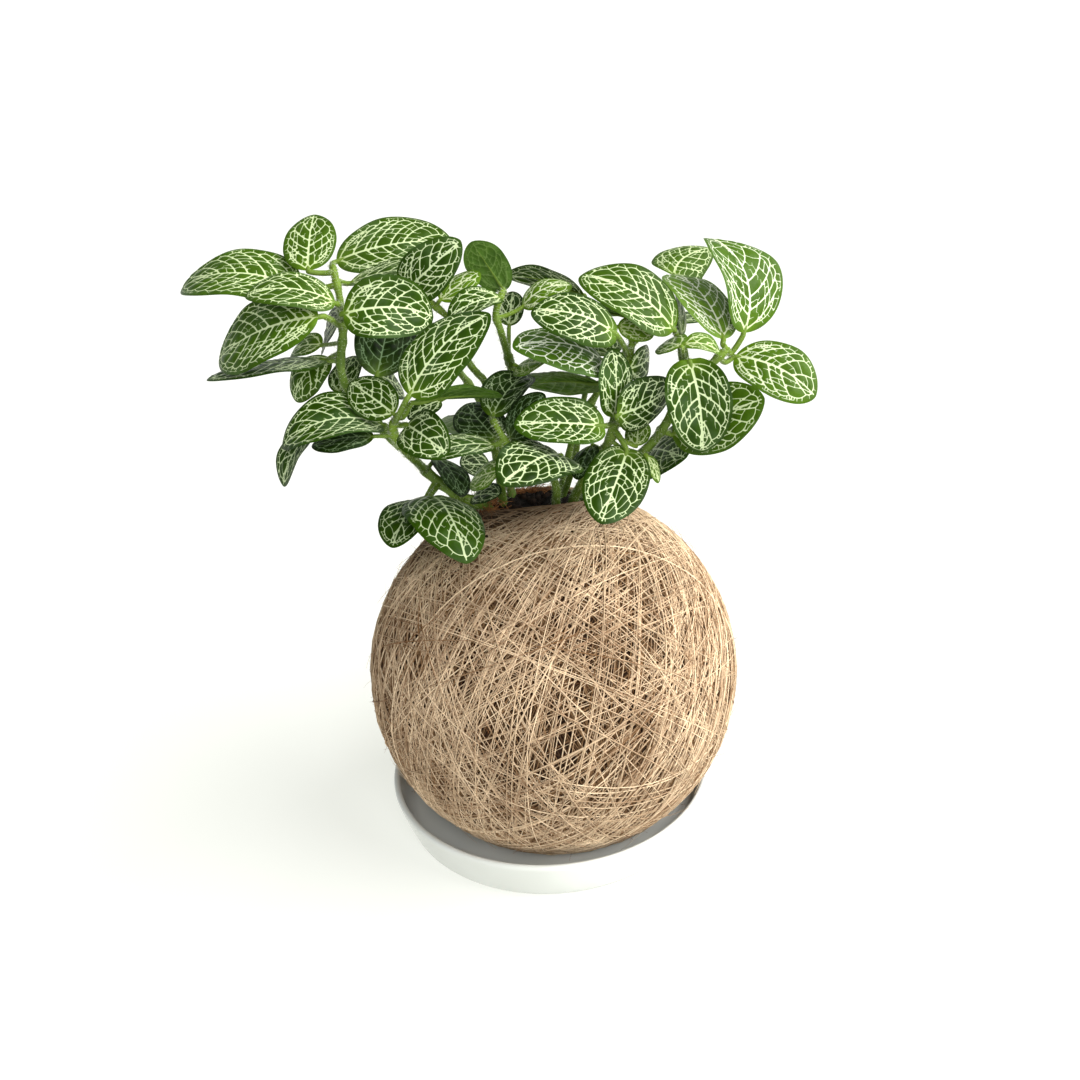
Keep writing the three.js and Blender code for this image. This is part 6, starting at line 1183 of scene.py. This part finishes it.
def soil():
    """The crumbly soil in the mouth, and the root ball under it."""
    rng = np.random.default_rng(77)
    nr, nu = 34, 96
    ph = np.linspace(0, 2 * np.pi, nu, endpoint=False)
    waves = [(rng.normal(size=2) * k, rng.uniform(0, 6.28), a) for k, a in ((0.3, 0.5), (0.7, 0.4), (1.5, 0.28), (2.6, 0.16)) for _ in range(6)]
    V = [[MOUTH_C[0], MOUTH_C[1], SOIL_TOP]]
    for i in range(1, nr + 1):
        f = i / nr
        x, y = MOUTH_C[0] + (MOUTH_R[0] - 0.6) * f * np.cos(ph), MOUTH_C[1] + (MOUTH_R[1] - 0.6) * f * np.sin(ph)
        z = SOIL_TOP - 4.0 * (1 - math.sqrt(max(0.0, 1 - f * f * 0.98))) + sum(a * np.sin(np.stack([x, y], 1) @ k + q) for k, q, a in waves) * 0.42
        V += list(np.stack([x, y, z], 1))
    top = len(V)
    # wall down and the round body
    prof = [(1.0, 96.0), (1.0, 92.0)]
    for f, z in prof:
        V += list(np.stack([MOUTH_C[0] + (MOUTH_R[0] - 0.8) * f * np.cos(ph), MOUTH_C[1] + (MOUTH_R[1] - 0.8) * f * np.sin(ph), np.full(nu, z)], 1))
    Rs = BALL_R - WINDING_T - 5.8
    for z in np.linspace(88, 12, 14):
        rad = math.sqrt(max(1.0, Rs * Rs - (z - BALL_C[2]) ** 2))
        V += list(np.stack([BALL_C[0] + rad * np.cos(ph), BALL_C[1] + rad * np.sin(ph), np.full(nu, z)], 1))
    V.append([BALL_C[0], BALL_C[1], 12.0])
    V = np.array(V)
    rings = (len(V) - 2) // nu
    tr, uv = [], []
    kk = np.arange(nu)
    k2 = (kk + 1) % nu
    R = lambda i, k: 1 + i * nu + k
    def UV(i, k):
        f = (i + 1) / (rings + 1) * 0.49
        an = k / nu * 2 * np.pi
        return np.stack([0.5 + f * np.cos(an), 0.5 + f * np.sin(an)], 1)
    tr.append(np.stack([np.zeros(nu, int), R(0, kk), R(0, k2)], 1))
    uv.append(np.stack([np.full((nu, 2), 0.5), UV(0, kk), UV(0, kk + 1)], 1))
    for i in range(rings - 1):
        tr += [np.stack([R(i, kk), R(i + 1, kk), R(i + 1, k2)], 1), np.stack([R(i, kk), R(i + 1, k2), R(i, k2)], 1)]
        uv += [np.stack([UV(i, kk), UV(i + 1, kk), UV(i + 1, kk + 1)], 1), np.stack([UV(i, kk), UV(i + 1, kk + 1), UV(i, kk + 1)], 1)]
    tr.append(np.stack([R(rings - 1, kk), np.full(nu, len(V) - 1), R(rings - 1, k2)], 1))
    uv.append(np.stack([UV(rings - 1, kk), UV(rings - 1, kk) * [1, 1] + 1e-4, UV(rings - 1, kk + 1)], 1))
    bag = Bag()
    bag.add(V, np.concatenate(tr), np.concatenate(uv).reshape(-1, 2), 0)
    ob = bag.build("soil_body", [SOIL])
    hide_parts("soil_core")
    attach(ob, "root")
    n = len(ob.data.polygons)

    # crumbs: small lumpy pebbles half sunk in it
    bag = Bag()
    K = 210
    ico = icosphere(1)
    cell = int(math.ceil(math.sqrt(K)))
    for i in range(K):
        f, an = math.sqrt(rng.uniform(0, 0.92)), rng.uniform(0, 2 * np.pi)
        x, y = MOUTH_C[0] + (MOUTH_R[0] - 1.6) * f * math.cos(an), MOUTH_C[1] + (MOUTH_R[1] - 1.6) * f * math.sin(an)
        z = SOIL_TOP - 4.0 * (1 - math.sqrt(max(0.0, 1 - f * f * 0.98)))
        s = rng.uniform(0.35, 1.15)
        v = ico[0] * (s * (1 + 0.28 * rng.normal(size=(len(ico[0]), 1)).clip(-1, 1))) * [1, rng.uniform(0.6, 1), rng.uniform(0.5, 0.9)]
        q = unit(rng.normal(size=4))
        v = v @ np.array(rot(q)).T + [x, y, z + 0.25 * s]
        cx, cy = (i % cell) / cell, (i // cell) / cell
        bag.add(v, ico[1], np.stack([cx + ico[2][:, 0] * 0.94 / cell, cy + ico[2][:, 1] * 0.94 / cell], 1), 0)
    ob = bag.build("soil_crumbs", [GRIT])
    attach(ob, "root")
    return n + len(ob.data.polygons)


def rot(q):
    w, x, y, z = q
    return [[1 - 2 * (y * y + z * z), 2 * (x * y - z * w), 2 * (x * z + y * w)], [2 * (x * y + z * w), 1 - 2 * (x * x + z * z), 2 * (y * z - x * w)], [2 * (x * z - y * w), 2 * (y * z + x * w), 1 - 2 * (x * x + y * y)]]


def icosphere(level):
    """Vertices, triangles and a spread-out uv cell for each corner."""
    g = (1 + 5 ** 0.5) / 2
    v = [(-1, g, 0), (1, g, 0), (-1, -g, 0), (1, -g, 0), (0, -1, g), (0, 1, g), (0, -1, -g), (0, 1, -g), (g, 0, -1), (g, 0, 1), (-g, 0, -1), (-g, 0, 1)]
    f = [(0, 11, 5), (0, 5, 1), (0, 1, 7), (0, 7, 10), (0, 10, 11), (1, 5, 9), (5, 11, 4), (11, 10, 2), (10, 7, 6), (7, 1, 8), (3, 9, 4), (3, 4, 2), (3, 2, 6), (3, 6, 8), (3, 8, 9), (4, 9, 5), (2, 4, 11), (6, 2, 10), (8, 6, 7), (9, 8, 1)]
    v = [tuple(unit(x)) for x in v]
    for _ in range(level):
        cache, out = {}, []
        def mid(a, b):
            key = (min(a, b), max(a, b))
            if key not in cache:
                v.append(tuple(unit((np.array(v[a]) + v[b]) / 2)))
                cache[key] = len(v) - 1
            return cache[key]
        for a, b, c in f:
            ab, bc, ca = mid(a, b), mid(b, c), mid(c, a)
            out += [(a, ab, ca), (b, bc, ab), (c, ca, bc), (ab, bc, ca)]
        f = out
    n = int(math.ceil(math.sqrt(len(f))))
    uv = []
    for i in range(len(f)):
        x, y = (i % n) / n, (i // n) / n
        uv += [(x, y), (x + 0.8 / n, y), (x, y + 0.8 / n)]
    return np.array(v), np.array(f), np.array(uv)


faces += soil()


def tuft():
    """Reddish-brown coir fibres that stick up along the mouth's rim, thickest at its left."""
    rng = np.random.default_rng(13)
    K = 1200
    pick = rng.uniform(size=K)
    an = np.where(pick < 0.38, rng.normal(np.pi * 1.06, 0.26, K), np.where(pick < 0.84, rng.uniform(np.pi * 0.38, np.pi * 0.92, K), rng.uniform(0, 2 * np.pi, K)))
    f = rng.uniform(0.80, 1.04, K)
    x, y = MOUTH_C[0] + MOUTH_R[0] * f * np.cos(an), MOUTH_C[1] + MOUTH_R[1] * f * np.sin(an)
    rho = np.hypot(x - BALL_C[0], y - BALL_C[1])
    z = BALL_C[2] + np.sqrt((BALL_R - 2.6) ** 2 - rho ** 2)
    p = np.stack([x, y, z], 1)
    t = unit(np.stack([-np.sin(an), np.cos(an), rng.normal(0, 0.2, K)], 1) * rng.choice([-1, 1], K)[:, None] + 0.5 * rng.normal(size=(K, 3)))
    up = np.array([0, 0, 1.0])
    left = np.exp(-((np.mod(an, 2 * np.pi) - np.pi * 1.06) / 0.42) ** 2) + 0.95 * np.exp(-((np.mod(an, 2 * np.pi) - np.pi * 0.62) / 0.45) ** 2)
    L = rng.uniform(2.0, 5.5, K)[:, None] * (0.7 + 0.8 * left[:, None])
    s = np.linspace(0, 1, 5)[None, :, None]
    rise = (rng.uniform(0.10, 0.7, K) * (0.6 + 1.2 * left))[:, None, None]
    q = p[:, None] + t[:, None] * L[:, None] * s + up * (L[:, None] * rise * np.sin(s * np.pi * 0.7)) - unit(np.stack([np.cos(an), np.sin(an), 0 * an], 1))[:, None] * (0.25 * L[:, None] * s ** 2)
    rad = rng.uniform(0.07, 0.16, (K, 1)) * np.linspace(1, 0.4, 5)[None]
    V, T, UV = many_tubes(q, rad, 3)
    bag = Bag()
    bag.add(V, T, UV, 0, tone=np.repeat(np.clip(rng.normal(0.45, 0.3, K), 0, 1), 15))
    ob = bag.build("coir_tuft", [FIBRE])
    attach(ob, "root")
    return len(T)


faces += tuft()


# ---------------------------------------------------------------- saucer
def saucer():
    pr = np.array(SAUCER, float)
    q = [pr[0]]
    # smooth the wall's profile through its points, keep the foot crisp
    curve = catmull(pr[1:14], 0.55)
    pts = np.concatenate([pr[:1], [[20, 0], [40, 0], [45.5, 0.0]], curve, [[40, 3.0], [30, 3.0], [18, 3.0], [6, 3.0]], pr[-1:]])
    nu = 192
    an = np.linspace(0, 2 * np.pi, nu, endpoint=False)
    body = pts[1:-1]
    m = len(body)
    V = np.concatenate([[[0, 0, 0]]] + [np.stack([x * np.cos(an), x * np.sin(an), np.full(nu, z)], 1) for x, z in body] + [[[0, 0, 3.0]]])
    kk = np.arange(nu)
    k2 = (kk + 1) % nu
    R = lambda i, k: 1 + i * nu + k
    under = 4
    cum = np.concatenate([[0], np.cumsum(np.linalg.norm(np.diff(body, axis=0), axis=1))])
    def UV(i, k, low):
        # underside disc and the rest as two separate discs
        if low:
            f = 0.24 * body[i][0] / 46.5
            return np.stack([0.25 + f * np.cos(k / nu * 2 * np.pi), 0.25 + f * np.sin(k / nu * 2 * np.pi)], 1)
        f = 0.02 + 0.34 * (cum[-1] - cum[i]) / (cum[-1] - cum[under - 1])
        return np.stack([0.635 + f * np.cos(k / nu * 2 * np.pi), 0.635 + f * np.sin(k / nu * 2 * np.pi)], 1)
    tr = [np.stack([np.zeros(nu, int), R(0, k2), R(0, kk)], 1)]
    uv = [np.stack([np.full((nu, 2), 0.25), UV(0, kk + 1, True), UV(0, kk, True)], 1)]
    for i in range(m - 1):
        low = i < under - 1
        tr += [np.stack([R(i, kk), R(i, k2), R(i + 1, k2)], 1), np.stack([R(i, kk), R(i + 1, k2), R(i + 1, kk)], 1)]
        uv += [np.stack([UV(i, kk, low), UV(i, kk + 1, low), UV(i + 1, kk + 1, low)], 1), np.stack([UV(i, kk, low), UV(i + 1, kk + 1, low), UV(i + 1, kk, low)], 1)]
    tr.append(np.stack([np.full(nu, len(V) - 1), R(m - 1, kk), R(m - 1, k2)], 1))
    uv.append(np.stack([np.full((nu, 2), 0.635), UV(m - 1, kk, False), UV(m - 1, kk + 1, False)], 1))
    bag = Bag()
    bag.add(V, np.concatenate(tr), np.concatenate(uv).reshape(-1, 2), 0)
    ob = bag.build("saucer_body", [GLAZE])
    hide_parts("saucer")
    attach(ob, "root")
    return len(ob.data.polygons)


faces += saucer()
print("faces in all", faces)


# ---------------------------------------------------------------- floor, light, camera
def floor():
    bag = Bag()
    n, half = 40, 6000.0
    g = np.linspace(-1, 1, n)
    g = np.sign(g) * np.abs(g) ** 2 * half
    X, Y = np.meshgrid(g, g, indexing="ij")
    V = np.stack([X.ravel(), Y.ravel(), np.full(n * n, -0.02)], 1)
    i, k = (q.ravel() for q in np.meshgrid(np.arange(n - 1), np.arange(n - 1), indexing="ij"))
    a, b, c, d = i * n + k, (i + 1) * n + k, (i + 1) * n + k + 1, i * n + k + 1
    t = np.concatenate([np.stack([a, b, c], 1), np.stack([a, c, d], 1)])
    uv = np.stack([X.ravel(), Y.ravel()], 1)[t].reshape(-1, 2) / (2 * half) + 0.5
    bag.add(V, t, uv, 0)
    m, g_, b_ = new_mat("floor_paper")
    n1 = g_.noise(g_.coords(1.0), 3.0, 2.0)
    g_.put(b_.inputs["Base Color"], g_.mix(g_.remap(n1, 0.3, 0.7), (0.29, 0.29, 0.285), (0.30, 0.30, 0.295)))
    b_.inputs["Roughness"].default_value = 0.75
    b_.inputs["Specular IOR Level"].default_value = 0.0
    b_.inputs["Emission Color"].default_value = (0.95, 0.968, 0.885, 1.0)
    b_.inputs["Emission Strength"].default_value = FLOOR_GLOW
    ob = bag.build("floor", [m])
    return ob


def area(name, loc, target, size, power, color):
    d = bpy.data.lights.new(name, "AREA")
    d.shape = "DISK"
    d.size = size * MM
    d.energy = power
    d.color = color
    o = bpy.data.objects.new(name, d)
    bpy.context.scene.collection.objects.link(o)
    o.location = [c * MM for c in loc]
    o.rotation_mode = "QUATERNION"
    o.rotation_quaternion = Vector([(t - c) for t, c in zip(target, loc)]).to_track_quat("-Z", "Y")
    return o


FLOOR_GLOW = 0.71
WORLD = 0.32
HORIZON = 0.82
floor()
sun = bpy.data.objects.new("key_light", bpy.data.lights.new("key_light", "SUN"))
sun.data.energy = 5.9
sun.data.angle = math.radians(62)
sun.data.color = (1.0, 0.99, 0.965)
scene_objects = bpy.context.scene.collection.objects
scene_objects.link(sun)
sun.rotation_mode = "QUATERNION"
sun.rotation_quaternion = Vector((-0.76, 0.07, -0.68)).to_track_quat("-Z", "Y")
area("front_fill", (80, -560, 430), (0, 0, 30), 320, 2.4, (0.98, 0.99, 1.0))

scene = bpy.context.scene
world = bpy.data.worlds.new("studio")
world.use_nodes = True
bg = world.node_tree.nodes["Background"]
bg.inputs[0].default_value = (0.95, 0.985, 1.0, 1.0)
# the room is brighter towards the horizon than overhead
sky = world.node_tree
place = sky.nodes.new("ShaderNodeTexCoord")
split = sky.nodes.new("ShaderNodeSeparateXYZ")
fade = sky.nodes.new("ShaderNodeMapRange")
sky.links.new(place.outputs["Generated"], split.inputs[0])
sky.links.new(split.outputs["Z"], fade.inputs["Value"])
for name, number in (("From Min", 0.0), ("From Max", 0.42), ("To Min", HORIZON), ("To Max", WORLD)):
    fade.inputs[name].default_value = number
sky.links.new(fade.outputs["Result"], bg.inputs[1])
scene.world = world
scene.view_settings.view_transform = "Standard"
scene.view_settings.look = "None"
scene.view_settings.exposure = 0.0
scene.view_settings.gamma = 1.0

e = math.radians(33.90)
roll, yaw, pitch = math.radians(-3.96), math.radians(-0.17), math.radians(4.92)
D = 475.4
C = D * np.array([0, -math.cos(e), math.sin(e)])
fwd = -C / D
right = np.array([1.0, 0, 0])
up = np.cross(right, fwd)
f2, u2 = fwd * math.cos(pitch) + up * math.sin(pitch), -fwd * math.sin(pitch) + up * math.cos(pitch)
f3, r3 = f2 * math.cos(yaw) + right * math.sin(yaw), right * math.cos(yaw) - f2 * math.sin(yaw)
rx, uy = r3 * math.cos(roll) + u2 * math.sin(roll), -r3 * math.sin(roll) + u2 * math.cos(roll)
M = Matrix.Identity(4)
for i in range(3):
    M[i][0], M[i][1], M[i][2], M[i][3] = rx[i], uy[i], -f3[i], (BALL_C + C)[i] * MM
cam_data = bpy.data.cameras.new("camera")
cam_data.sensor_width = 36.0
cam_data.lens = 50.0
cam_data.clip_start, cam_data.clip_end = 0.01, 50.0
cam = bpy.data.objects.new("camera", cam_data)
scene.collection.objects.link(cam)
cam.matrix_world = M
scene.camera = cam
